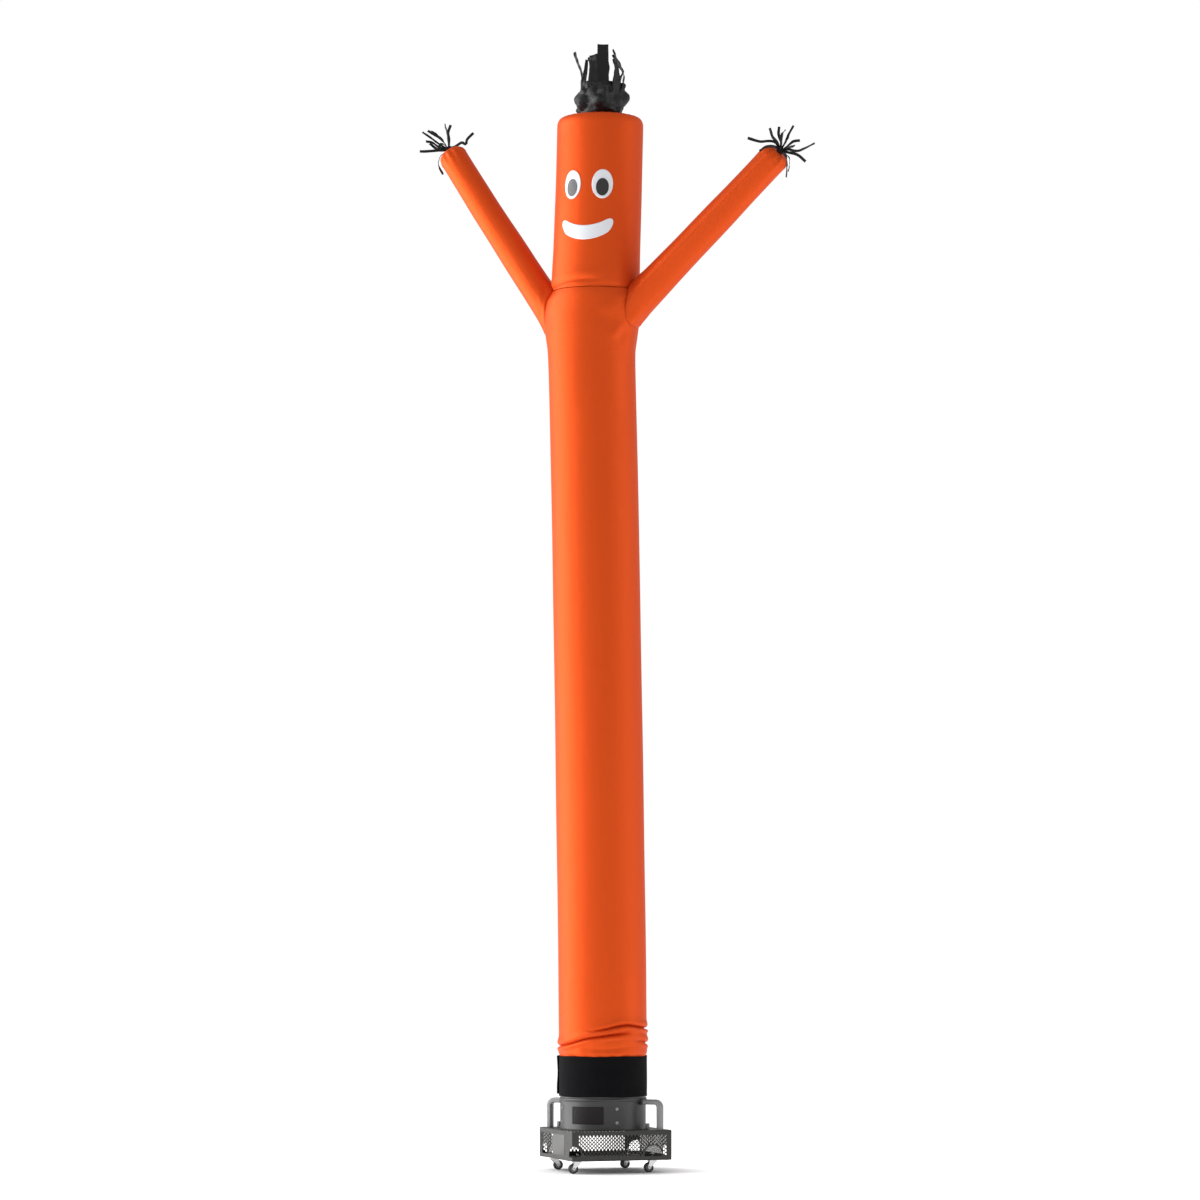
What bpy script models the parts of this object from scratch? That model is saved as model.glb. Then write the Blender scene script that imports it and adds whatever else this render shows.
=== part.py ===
"""An inflatable air dancer on its blower.

Cloth tubes stand on a strapped cuff, the cuff on a round steel duct, and the duct on a
perforated sheet steel base with four swivel casters. Metres, +Z up, the floor at z = 0,
and the origin on the floor under the middle of the whole part.
"""

from math import atan2, cos, degrees, exp, pi, radians, sin, sqrt

import bmesh
import bpy
from mathutils import Matrix, Vector

# Where the main pieces stand
DUCT_X = -0.066  # the blower's upright axis, while the pieces are modelled
TO_MIDDLE = Vector((0.007, 0.039, 0.0))  # last, all is moved to put the origin under its middle
BASE_SHIFT = 0.011  # the steel base sits this far to the right of the duct
BASE_TURN = radians(18.8)  # the base is turned to the left, seen from above
FACE_TURN = radians(-15.5)  # the face looks a little to the viewer's left
ARM_TURN = radians(24.0)  # the right arm comes forward, the left one goes back
GAP = 0.0003  # between two pieces that touch

# Cloth
CLOTH = 0.0015  # one layer of coated nylon with its hems
TUBE_R = 0.2285  # an 18 inch tube
TUBE_SIDES = 32
TUBE_FOOT_Z = 0.580
SHOULDER_Z = 4.593  # the seam between the body and the head
SEAM_DEPTH = 0.008  # how far the shoulder seam draws the cloth in
SHOULDER_X = -0.063  # the arms' plane crosses here, from the duct's axis
SWELL = 0.032  # how far the cloth swells out round an armhole
SWELL_Z = 4.480
SWELL_SPREAD = 0.150
HEAD_TOP_Z = 5.512
HEAD_R = 0.2295
HEAD_SIDES = 32

# The blower
DECK_TOP = 0.219
BASE_BOTTOM = 0.067
BASE_SIDE = 0.5375
SHEET = 0.002
DUCT_R = 0.222
DUCT_WALL = 0.003
RIM_LOW = 0.363
RIM_HIGH = 0.381
NECK_TOP = 0.440
CUFF_LOW = 0.387
CUFF_HIGH = 0.595
CUFF_R = 0.2262  # inner radius

# Casters
WHEEL_R = 0.0255
WHEEL_SIDES = 20
WHEEL_HALF = 0.011
TRAIL = 0.020
STEM_U = 0.205
STEM_V = 0.185
AXLE_Z = WHEEL_R * cos(pi / WHEEL_SIDES)


def clear_scene():
    for thing in list(bpy.data.objects):
        bpy.data.objects.remove(thing, do_unlink=True)


def material(name, colour, roughness, metallic=0.0):
    made = bpy.data.materials.new(name)
    made.use_nodes = True
    shader = made.node_tree.nodes["Principled BSDF"]
    shader.inputs["Base Color"].default_value = (*colour, 1.0)
    shader.inputs["Roughness"].default_value = roughness
    shader.inputs["Metallic"].default_value = metallic
    return made


def finish(bm, name, look, parent=None, sharp=30.0):
    """Turn a bmesh into a named object with one material, faces pointing out."""
    bmesh.ops.recalc_face_normals(bm, faces=bm.faces)
    closed = all(edge.is_manifold for edge in bm.edges)
    if closed and bm.calc_volume(signed=True) < 0:
        bmesh.ops.reverse_faces(bm, faces=bm.faces)
    mesh = bpy.data.meshes.new(name)
    bm.to_mesh(mesh)
    bm.free()
    mesh.shade_smooth()
    mesh.set_sharp_from_angle(angle=radians(sharp))
    if look is not None:
        mesh.materials.append(look)
    thing = bpy.data.objects.new(name, mesh)
    bpy.context.scene.collection.objects.link(thing)
    thing.parent = parent
    return thing


def guide(bm, name, parent=None):
    """A cutter, which is no piece of the object."""
    thing = finish(bm, name, None, parent)
    thing.hide_render = True
    thing.display_type = "WIRE"
    return thing


def cut(thing, cutter):
    change = thing.modifiers.new("cut by " + cutter.name, "BOOLEAN")
    change.operation = "DIFFERENCE"
    change.object = cutter
    return change


def thicken(thing, wall):
    change = thing.modifiers.new("wall", "SOLIDIFY")
    change.thickness = wall
    change.offset = -1.0
    return change


def empty(name, place, turn=0.0, parent=None):
    thing = bpy.data.objects.new(name, None)
    thing.location = place
    thing.rotation_euler.z = turn
    thing.parent = parent
    bpy.context.scene.collection.objects.link(thing)
    return thing


def box(bm, low, high):
    low, high = Vector(low), Vector(high)
    size = Matrix.Diagonal((*(high - low), 1.0))
    return bmesh.ops.create_cube(bm, size=1.0, matrix=Matrix.Translation((low + high) / 2) @ size)


def frame_at(centre, axis, radius):
    """A ring's place: its centre, the way its axis points, and its radius as a scale."""
    turn = Vector(axis).to_track_quat("Z", "Y").to_matrix().to_4x4()
    return Matrix.Translation(centre) @ turn @ Matrix.Scale(radius, 4)


def loft(bm, frames, sides, cap_low=False, cap_high=False):
    """Draw a tube through rings that all have the same number of sides."""
    made = bmesh.ops.create_circle(bm, radius=1.0, segments=sides, cap_ends=cap_low, matrix=frames[0])
    ring = set(made["verts"])
    edges = [e for e in bm.edges if set(e.verts) <= ring]
    for before, after in zip(frames, frames[1:]):
        geom = bmesh.ops.extrude_edge_only(bm, edges=edges)["geom"]
        ring = {v for v in geom if isinstance(v, bmesh.types.BMVert)}
        edges = [e for e in geom if isinstance(e, bmesh.types.BMEdge) and set(e.verts) <= ring]
        bmesh.ops.transform(bm, matrix=after @ before.inverted(), verts=list(ring))
    if cap_high:
        bmesh.ops.contextual_create(bm, geom=edges)


def turned(bm, profile, sides, axis="Z"):
    """Spin an open outline of (radius, height) pairs that starts and ends on the axis."""
    verts = [bm.verts.new((radius, 0.0, height)) for radius, height in profile]
    edges = [bm.edges.new(pair) for pair in zip(verts, verts[1:])]
    bmesh.ops.spin(
        bm, geom=verts + edges, cent=(0, 0, 0), axis=(0, 0, 1), dvec=(0, 0, 0),
        angle=2 * pi, steps=sides, use_merge=True,
    )
    bmesh.ops.remove_doubles(bm, verts=bm.verts, dist=1e-6)
    if axis == "Y":
        bmesh.ops.rotate(bm, verts=bm.verts, matrix=Matrix.Rotation(pi / 2, 3, "X"))


def turned_ring(bm, profile, sides):
    """Spin a closed outline of (radius, height) pairs that stays off the axis."""
    verts = [bm.verts.new((radius, 0.0, height)) for radius, height in profile]
    edges = [bm.edges.new(pair) for pair in zip(verts, verts[1:] + verts[:1])]
    bmesh.ops.spin(
        bm, geom=verts + edges, cent=(0, 0, 0), axis=(0, 0, 1), dvec=(0, 0, 0),
        angle=2 * pi, steps=sides, use_merge=True,
    )
    bmesh.ops.remove_doubles(bm, verts=bm.verts, dist=1e-6)


def strip_of(bm, columns):
    """A bent plate from columns of four corners: inner low, inner high, outer high, outer low."""
    rows = [[bm.verts.new(corner) for corner in column] for column in columns]
    bm.faces.new(rows[0])
    bm.faces.new(rows[-1])
    for one, two in zip(rows, rows[1:]):
        for k in range(4):
            bm.faces.new((one[k], one[(k + 1) % 4], two[(k + 1) % 4], two[k]))


def polar(azimuth, radius, z, centre_x=DUCT_X):
    """A point round an upright axis; azimuth 0 faces the viewer and grows to the right."""
    return Vector((centre_x + radius * sin(azimuth), -radius * cos(azimuth), z))


def azimuth_round(centre, point):
    """The azimuth of a point round an upright axis, from 0 to a full turn."""
    away = point - centre
    return atan2(away.x, -away.y) % (2 * pi)


def shell_column(azimuth, inner, outer, low, high):
    """Four corners of a curved plate round the duct's axis, in the order that strip_of wants."""
    return [
        polar(azimuth, inner, low), polar(azimuth, inner, high),
        polar(azimuth, outer, high), polar(azimuth, outer, low),
    ]


def looks():
    return {
        "orange_cloth": material("orange_cloth", (0.80, 0.13, 0.035), 0.45),
        "black_cloth": material("black_cloth", (0.012, 0.012, 0.013), 0.5),
        "black_band": material("black_band", (0.008, 0.008, 0.009), 0.95),
        "white_cloth": material("white_cloth", (0.72, 0.74, 0.77), 0.5),
        "grey_print": material("grey_print", (0.10, 0.10, 0.105), 0.5),
        "black_print": material("black_print", (0.018, 0.018, 0.018), 0.5),
        "label_film": material("label_film", (0.020, 0.020, 0.021), 0.3),
        "dark_steel": material("dark_steel", (0.045, 0.045, 0.045), 0.42, 0.6),
        "grey_steel": material("grey_steel", (0.22, 0.22, 0.22), 0.45, 0.6),
        "chrome": material("chrome", (0.70, 0.70, 0.72), 0.2, 1.0),
        "wheel_rubber": material("wheel_rubber", (0.02, 0.02, 0.02), 0.6),
    }


# The cloth dancer

# How the body's tube leans from its foot on: to the left, more and more
LEAN = -0.00981
LEAN_MORE = -0.001683
LEAN_FROM = 0.600
# Rings above the straight part: height, centre's distance from the duct's axis, inset of the radius
SHOULDER_ROWS = (
    (4.420, -0.0575, 0.0),
    (4.500, -0.0510, 0.0),
    (4.550, -0.0450, 0.001),
    (4.577, -0.0415, 0.003),
    (SHOULDER_Z, -0.0400, SEAM_DEPTH),
)
# Rings at the foot, close together where the slack cloth folds above the cuff
FOOT_ROWS = (0.600, 0.615, 0.630, 0.645, 0.660, 0.675, 0.690, 0.706, 0.722, 0.738, 0.754, 0.774, 0.82)
PLAIN_ROWS = (1.30, 2.10, 2.90, 3.60, 4.12, 4.23, 4.33)
SEAM_FADE = 0.045  # below the shoulder seam, where the swell fades out
# Folds at the foot: from one azimuth and height to another, how deep, half as wide as
FOOT_FOLDS = (
    {"from_deg": -115, "from_z": 0.640, "to_deg": 14, "to_z": 0.712, "deep": 0.013, "half": 0.013},
    {"from_deg": -6, "from_z": 0.733, "to_deg": 112, "to_z": 0.745, "deep": 0.014, "half": 0.011},
    {"from_deg": 62, "from_z": 0.672, "to_deg": 168, "to_z": 0.660, "deep": 0.010, "half": 0.011},
    {"from_deg": 130, "from_z": 0.722, "to_deg": 236, "to_z": 0.694, "deep": 0.012, "half": 0.012},
)
FOLD_PUFF = 0.45  # the roll beside a fold stands out by this share of its depth
ROLL_AT = 1.7  # the roll's middle, in half widths from the fold's
ROLL_SPREAD = 0.9
FOLD_FADE = 16.0  # degrees over which a fold runs out at its ends


def tube_x(z):
    """How far the body's centre is from the duct's axis at a height."""
    rise = max(z - LEAN_FROM, 0.0)
    return LEAN * rise + LEAN_MORE * rise * rise


def fold_push(azimuth, z):
    """How far the folds at the foot push the cloth in (negative) or out."""
    push = 0.0
    for fold in FOOT_FOLDS:
        turn = (degrees(azimuth) - fold["from_deg"]) % 360.0
        if turn > 300.0:
            turn -= 360.0
        span = fold["to_deg"] - fold["from_deg"]
        inside = min(turn, span - turn)
        fade = min(max((inside + FOLD_FADE) / FOLD_FADE, 0.0), 1.0)
        share = min(max(turn / span, 0.0), 1.0)
        off = (z - fold["from_z"] - share * (fold["to_z"] - fold["from_z"])) / fold["half"]
        trough = -fold["deep"] * max(1.0 - off * off, 0.0)
        roll = FOLD_PUFF * fold["deep"] * max(1.0 - (abs(off) - ROLL_AT) ** 2 / ROLL_SPREAD, 0.0)
        push += fade * (trough + roll)
    return push


def shoulder_push(azimuth, z):
    """How far the cloth swells out round the two armholes."""
    push = 0.0
    for side in (-1, 1):
        turn = (azimuth - side * pi / 2 + ARM_TURN + pi) % (2 * pi) - pi
        away = (turn * TUBE_R) ** 2 + (z - SWELL_Z) ** 2
        push = max(push, SWELL * exp(-away / SWELL_SPREAD ** 2))
    return push * min(max((SHOULDER_Z - z) / SEAM_FADE, 0.0), 1.0)


def swell_out(bm):
    """Push a tube's corners out round the armholes."""
    for v in bm.verts:
        if v.co.z < SHOULDER_Z and v.co.z > SWELL_Z - 3 * SWELL_SPREAD:
            out = Vector((v.co.x - DUCT_X - tube_x(v.co.z), v.co.y, 0.0)).normalized()
            v.co += out * shoulder_push(atan2(out.x, -out.y), v.co.z)


def body_rows():
    """Rings of the body's tube: height, centre's distance from the duct's axis, radius."""
    tucked = TUBE_R - 0.0055
    rows = [(TUBE_FOOT_Z, 0.0, tucked), (FOOT_ROWS[0], 0.0, tucked)]
    rows += [(z, tube_x(z), TUBE_R - 0.003 * (i < 2)) for i, z in enumerate(FOOT_ROWS[1:])]
    rows += [(z, tube_x(z), TUBE_R) for z in PLAIN_ROWS]
    rows += [(z, off, TUBE_R - inset) for z, off, inset in SHOULDER_ROWS]
    return rows


def make_body(look, armholes):
    bm = bmesh.new()
    frames = [frame_at((DUCT_X + off, 0.0, z), (0, 0, 1), radius) for z, off, radius in body_rows()]
    loft(bm, frames, TUBE_SIDES)
    for v in bm.verts:
        if FOOT_ROWS[0] < v.co.z < FOOT_ROWS[-1]:
            centre = Vector((DUCT_X + tube_x(v.co.z), 0.0, v.co.z))
            out = (v.co - centre).normalized()
            v.co += out * fold_push(atan2(out.x, -out.y), v.co.z)
    swell_out(bm)
    body = finish(bm, "body_tube", look, sharp=60)
    thicken(body, CLOTH)
    for hole in armholes:
        cut(body, hole)
    return body


# Rings of the head's tube: height, centre's distance from the duct's axis, inset of the radius
HEAD_ROWS = (
    (SHOULDER_Z + GAP, -0.0400, SEAM_DEPTH + 0.001),
    (4.610, -0.0394, 0.001),
    (4.690, -0.0370, -0.002),
    (4.960, -0.0283, 0.0),
    (5.180, -0.0212, 0.002),
    (5.470, -0.0144, 0.0025),
    (5.500, -0.0140, 0.011),
    (HEAD_TOP_Z, -0.0138, 0.024),
)
# The top panel, from its edge to the middle: radius and height above the edge
TOP_DOME = ((0.150, 0.011), (0.060, 0.017))
HAIR_X = -0.0090  # middle of the hair, from the duct's axis


def between(rows, z):
    """Centre offset and inset of the head's tube at a height."""
    for low, high in zip(rows, rows[1:]):
        if z <= high[0]:
            share = max((z - low[0]) / (high[0] - low[0]), 0.0)
            return tuple(low[k] + share * (high[k] - low[k]) for k in (1, 2))
    return rows[-1][1:]


def head_frames(extra=0.0):
    return [
        frame_at((DUCT_X + off, 0.0, z), (0, 0, 1), HEAD_R - inset + extra)
        for z, off, inset in HEAD_ROWS
    ]


def make_head(look):
    bm = bmesh.new()
    top_x = DUCT_X + HEAD_ROWS[-1][1]
    frames = head_frames()
    frames += [frame_at((top_x, 0.0, HEAD_TOP_Z + rise), (0, 0, 1), radius) for radius, rise in TOP_DOME]
    loft(bm, frames, HEAD_SIDES, cap_high=True)
    head = finish(bm, "head_tube", look, sharp=60)
    thicken(head, CLOTH)
    return head


# The arms lie in one upright plane, turned with the body: side from the middle, height
ARMS = {
    "arm_left": {
        "root": (-0.1168, 4.348), "tip": (-0.8305, 5.4030), "bow": 0.010,
        "root_r": 0.0975, "tip_r": 0.0745,
    },
    "arm_right": {
        "root": (0.0903, 4.368), "tip": (1.0686, 5.2604), "bow": 0.002,
        "root_r": 0.1010, "tip_r": 0.0770,
    },
}
ARM_SIDES = 20
ARM_STEPS = 5
# The round end of an arm: distance back from the tip, share of the radius there
ARM_END = ((0.045, 0.985), (0.020, 0.885), (0.007, 0.70), (0.0, 0.34))
ARMHOLE_Z = 4.485
ARMHOLE_R = 0.065


def in_arm_plane(side, z):
    return Vector((DUCT_X + SHOULDER_X + side * cos(ARM_TURN), -side * sin(ARM_TURN), z))


def arm_line(arm):
    """The arm's straight line, its tip and the unit vector along it."""
    root, tip = in_arm_plane(*arm["root"]), in_arm_plane(*arm["tip"])
    along = (tip - root).normalized()
    return root, tip, along


def arm_frames(arm):
    """Rings from the arm's root to where its round end begins, on a slightly sagging line."""
    root, tip, along = arm_line(arm)
    length = (tip - root).length
    sag = along.cross(Vector((0, 1, 0))).normalized() * arm["bow"]
    if sag.z > 0:
        sag = -sag
    frames = []
    for i in range(ARM_STEPS + 1):
        share = i / ARM_STEPS * (1 - ARM_END[0][0] * 1.6 / length)
        radius = arm["root_r"] + (arm["tip_r"] - arm["root_r"]) * sqrt(share)
        centre = root + along * length * share + sag * sin(pi * share)
        frames.append(frame_at(centre, along, radius))
    return frames


def make_arm(name, look, cores):
    arm = ARMS[name]
    _, tip, along = arm_line(arm)
    frames = arm_frames(arm)
    frames += [frame_at(tip - along * back, along, arm["tip_r"] * share) for back, share in ARM_END]
    bm = bmesh.new()
    loft(bm, frames, ARM_SIDES, cap_high=True)
    made = finish(bm, name, look, sharp=60)
    thicken(made, CLOTH)
    for core in cores:
        cut(made, core)
    return made


def make_armhole(name, direction):
    """A round cutter through the body's wall under the arm's root."""
    bm = bmesh.new()
    start = in_arm_plane(direction * 0.12, ARMHOLE_Z)
    end = in_arm_plane(direction * 0.32, ARMHOLE_Z)
    axis = (end - start).normalized()
    loft(bm, [frame_at(start, axis, ARMHOLE_R), frame_at(end, axis, ARMHOLE_R)], 20, True, True)
    return guide(bm, name)


def make_cores():
    """Solid copies of the body's and the head's outside, to which the arms' roots are cut."""
    # the core is a little wider than the flat sides of the tube need, so the cut clears its corners
    wide = 0.0016
    rows = [row for row in body_rows() if row[0] > 4.0]
    low = bmesh.new()
    frames = [frame_at((DUCT_X + off, 0.0, z), (0, 0, 1), radius + wide) for z, off, radius in rows]
    loft(low, frames, TUBE_SIDES, True, True)
    swell_out(low)
    high = bmesh.new()
    frames = head_frames(wide)
    frames[0] = Matrix.Translation((0, 0, -0.002)) @ frames[0]
    loft(high, frames, HEAD_SIDES, True, True)
    return [guide(low, "body_core"), guide(high, "head_core")]


# The face is sewn on; places are in metres along and up the cloth
EYES = {
    "eye_left": {"azimuth": radians(-36.9), "half_w": 0.0515, "z": 5.1330, "half_h": 0.0760},
    "eye_right": {"azimuth": radians(5.0), "half_w": 0.0560, "z": 5.1300, "half_h": 0.0770},
}
PUPIL_W = 0.60
PUPIL_H = 0.60
PUPIL_DROP = 0.0165
PATCH = 0.0010
SMILE = {
    "azimuth": FACE_TURN, "half_w": 0.1460, "low_z": 4.838, "middle_z": 4.913,
    "tip_low_z": 4.897, "tip_high_z": 4.965,
}
SMILE_END = 0.032  # length of each round end
SMILE_BLUNT = 0.04  # least share of the height at the very tip, squared


def on_head(azimuth, z, out):
    off, inset = between(HEAD_ROWS, z)
    return polar(azimuth, HEAD_R - inset + out, z, DUCT_X + off)


def patch(name, azimuth, spans, look, out):
    """A cloth patch on the head from columns: distance along the cloth, low z, high z."""
    columns = []
    for along, low, high in spans:
        turn = azimuth + along / HEAD_R
        columns.append(
            [
                on_head(turn, low, out), on_head(turn, high, out),
                on_head(turn, high, out + PATCH), on_head(turn, low, out + PATCH),
            ]
        )
    bm = bmesh.new()
    strip_of(bm, columns)
    return finish(bm, name, look)


def oval(half_w, z, half_h, steps=14):
    spans = []
    for i in range(steps + 1):
        turn = pi * (0.04 + 0.92 * i / steps)
        spans.append((-half_w * cos(turn), z - half_h * sin(turn), z + half_h * sin(turn)))
    return spans


def smile_spans(steps=18):
    """A crescent between two arcs, with round ends."""
    spans = []
    half, end = SMILE["half_w"], SMILE_END
    for i in range(steps + 1):
        along = -cos(pi * (0.03 + 0.94 * i / steps))
        rise = along * along
        low = SMILE["low_z"] + (SMILE["tip_low_z"] - SMILE["low_z"]) * rise
        high = SMILE["middle_z"] + (SMILE["tip_high_z"] - SMILE["middle_z"]) * rise
        edge = (1.0 - abs(along)) * half
        if edge < end:
            middle, reach = (low + high) / 2, (high - low) / 2
            round_off = sqrt(max(1.0 - ((end - edge) / end) ** 2, SMILE_BLUNT))
            low, high = middle - reach * round_off, middle + reach * round_off
        spans.append((along * half, low, high))
    return spans


def make_face(look):
    lift = 0.0007
    for name, eye in EYES.items():
        white = oval(eye["half_w"], eye["z"], eye["half_h"])
        patch(name, eye["azimuth"], white, look["white_cloth"], lift)
        side = name.split("_")[1]
        print_look = look["grey_print"] if side == "left" else look["black_print"]
        spans = oval(eye["half_w"] * PUPIL_W, eye["z"] - PUPIL_DROP, eye["half_h"] * PUPIL_H)
        patch("pupil_" + side, eye["azimuth"], spans, print_look, lift + PATCH + 0.0006)
    patch("smile", SMILE["azimuth"], smile_spans(), look["white_cloth"], lift)


# Streamers

STREAMER = 0.0015


def corners_by_place(faces, wide, thick):
    """Where each corner of some faces lies: across the strip and through it, from -0.5 to 0.5."""
    verts = {v for f in faces for v in f.verts}
    across = {v: v.co.dot(wide) for v in verts}
    through = {v: v.co.dot(thick) for v in verts}
    low, high = min(across.values()), max(across.values())
    near = sum(through.values()) / len(through)
    places = {}
    for v in verts:
        places[v] = ((across[v] - low) / (high - low) - 0.5, 0.5 if through[v] > near else -0.5)
    return places


def grow(bm, faces, stations, wide):
    """Draw a strip out of some faces through stations: centre, width, and how far it is twisted."""
    middle = sum((f.calc_center_median() for f in faces), Vector()) / len(faces)
    thick = (stations[0][0] - middle).cross(wide).normalized()
    places = corners_by_place(faces, wide, thick)
    before = middle
    for k, (centre, width, twist) in enumerate(stations):
        geom = bmesh.ops.extrude_face_region(bm, geom=faces)["geom"]
        fresh = [v for v in geom if isinstance(v, bmesh.types.BMVert)]
        old = {v.co.copy().freeze(): places[v] for f in faces for v in f.verts}
        bmesh.ops.delete(bm, geom=faces, context="FACES")
        faces = [f for f in geom if isinstance(f, bmesh.types.BMFace)]
        places = {v: old[v.co.copy().freeze()] for v in fresh}
        after = stations[k + 1][0] if k + 1 < len(stations) else centre
        along = (after - before).normalized()
        side = (wide - along * wide.dot(along)).normalized()
        side = Matrix.Rotation(twist, 3, along) @ side
        up = along.cross(side)
        for v, (a, b) in places.items():
            v.co = centre + side * a * width + up * b * STREAMER
        before = centre


# The hair is one black sleeve whose top is cut into strips
HAIR_SIDES = 24
HAIR_LOW = HEAD_TOP_Z + 0.0185
# Rings of the sleeve: height above its foot, radius, how uneven
HAIR_ROWS = (
    (0.000, 0.105, 0.02), (0.030, 0.122, 0.07), (0.075, 0.132, 0.11), (0.115, 0.124, 0.12),
    (0.150, 0.104, 0.09),
)
# Strips: first segment, how many, then at each station the centre (x, y, height above the foot),
# the width and the twist in degrees
HAIR_STRIPS = (
    {"first": 0, "many": 2, "way": ((0.006, -0.080, 0.22, 0.060, 0), (0.008, -0.060, 0.30, 0.058, 5),
                                     (0.009, -0.045, 0.375, 0.057, 0))},
    {"first": 22, "many": 2, "way": ((-0.036, -0.075, 0.21, 0.055, 0), (-0.040, -0.052, 0.27, 0.050, -6),
                                      (-0.043, -0.040, 0.320, 0.045, -4))},
    {"first": 20, "many": 1, "way": ((-0.084, -0.055, 0.21, 0.020, 30), (-0.078, -0.050, 0.255, 0.016, 50),
                                      (-0.075, -0.045, 0.296, 0.014, 60))},
    {"first": 18, "many": 1, "way": ((-0.100, -0.010, 0.23, 0.018, 40), (-0.123, -0.008, 0.285, 0.014, 50),
                                      (-0.142, -0.006, 0.342, 0.013, 60))},
    {"first": 16, "many": 1, "way": ((-0.085, 0.030, 0.22, 0.020, 0), (-0.080, 0.034, 0.27, 0.016, 10),
                                      (-0.082, 0.040, 0.312, 0.014, 20))},
    {"first": 13, "many": 2, "way": ((-0.030, 0.075, 0.23, 0.045, 0), (-0.045, 0.070, 0.29, 0.040, 5),
                                      (-0.055, 0.085, 0.335, 0.036, 0))},
    {"first": 11, "many": 1, "way": ((0.025, 0.080, 0.22, 0.024, 0), (0.035, 0.070, 0.275, 0.020, 20),
                                      (0.030, 0.085, 0.315, 0.018, 40))},
    {"first": 8, "many": 1, "way": ((0.090, 0.035, 0.20, 0.026, 0), (0.112, 0.030, 0.245, 0.020, 15),
                                     (0.085, 0.028, 0.290, 0.017, 30), (0.060, 0.020, 0.335, 0.014, 40))},
    {"first": 6, "many": 1, "way": ((0.112, -0.010, 0.19, 0.026, 0), (0.126, -0.012, 0.225, 0.024, 10),
                                     (0.102, -0.014, 0.262, 0.022, 20), (0.078, -0.016, 0.305, 0.018, 30),
                                     (0.062, -0.018, 0.358, 0.012, 40))},
    {"first": 3, "many": 1, "way": ((0.080, -0.064, 0.21, 0.024, 0), (0.072, -0.060, 0.26, 0.020, 10),
                                     (0.056, -0.060, 0.300, 0.016, 20))},
)


def make_hair(look):
    centre = Vector((DUCT_X + HAIR_X, 0.0, HAIR_LOW))
    bm = bmesh.new()
    frames = [frame_at(centre + Vector((0, 0, up)), (0, 0, 1), radius) for up, radius, _ in HAIR_ROWS]
    loft(bm, frames, HAIR_SIDES)
    uneven = {round(centre.z + up, 4): share for up, _, share in HAIR_ROWS}
    for v in bm.verts:
        share = uneven[round(v.co.z, 4)]
        out = Vector((v.co.x - centre.x, v.co.y - centre.y, 0.0))
        turn = azimuth_round(centre, v.co)
        rise = 9.0 * (v.co.z - centre.z)
        v.co += out * share * (0.6 * sin(3 * turn + 0.7 + rise) + 0.5 * sin(5 * turn + 2.1 - rise))
    bmesh.ops.recalc_face_normals(bm, faces=bm.faces)
    bmesh.ops.solidify(bm, geom=bm.faces[:], thickness=STREAMER)
    top = centre.z + HAIR_ROWS[-1][0]
    rim = [f for f in bm.faces if all(abs(v.co.z - top) < 0.003 for v in f.verts)]
    rim.sort(key=lambda f: azimuth_round(centre, f.calc_center_median()))
    for strip in HAIR_STRIPS:
        faces = [rim[(strip["first"] + k) % len(rim)] for k in range(strip["many"])]
        middle = sum((f.calc_center_median() for f in faces), Vector()) / len(faces) - centre
        wide = Vector((-middle.y, middle.x, 0.0)).normalized()
        way = [(centre + Vector(row[:3]), row[3], radians(row[4])) for row in strip["way"]]
        grow(bm, faces, way, wide)
    return finish(bm, "hair", look, sharp=50)


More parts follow.
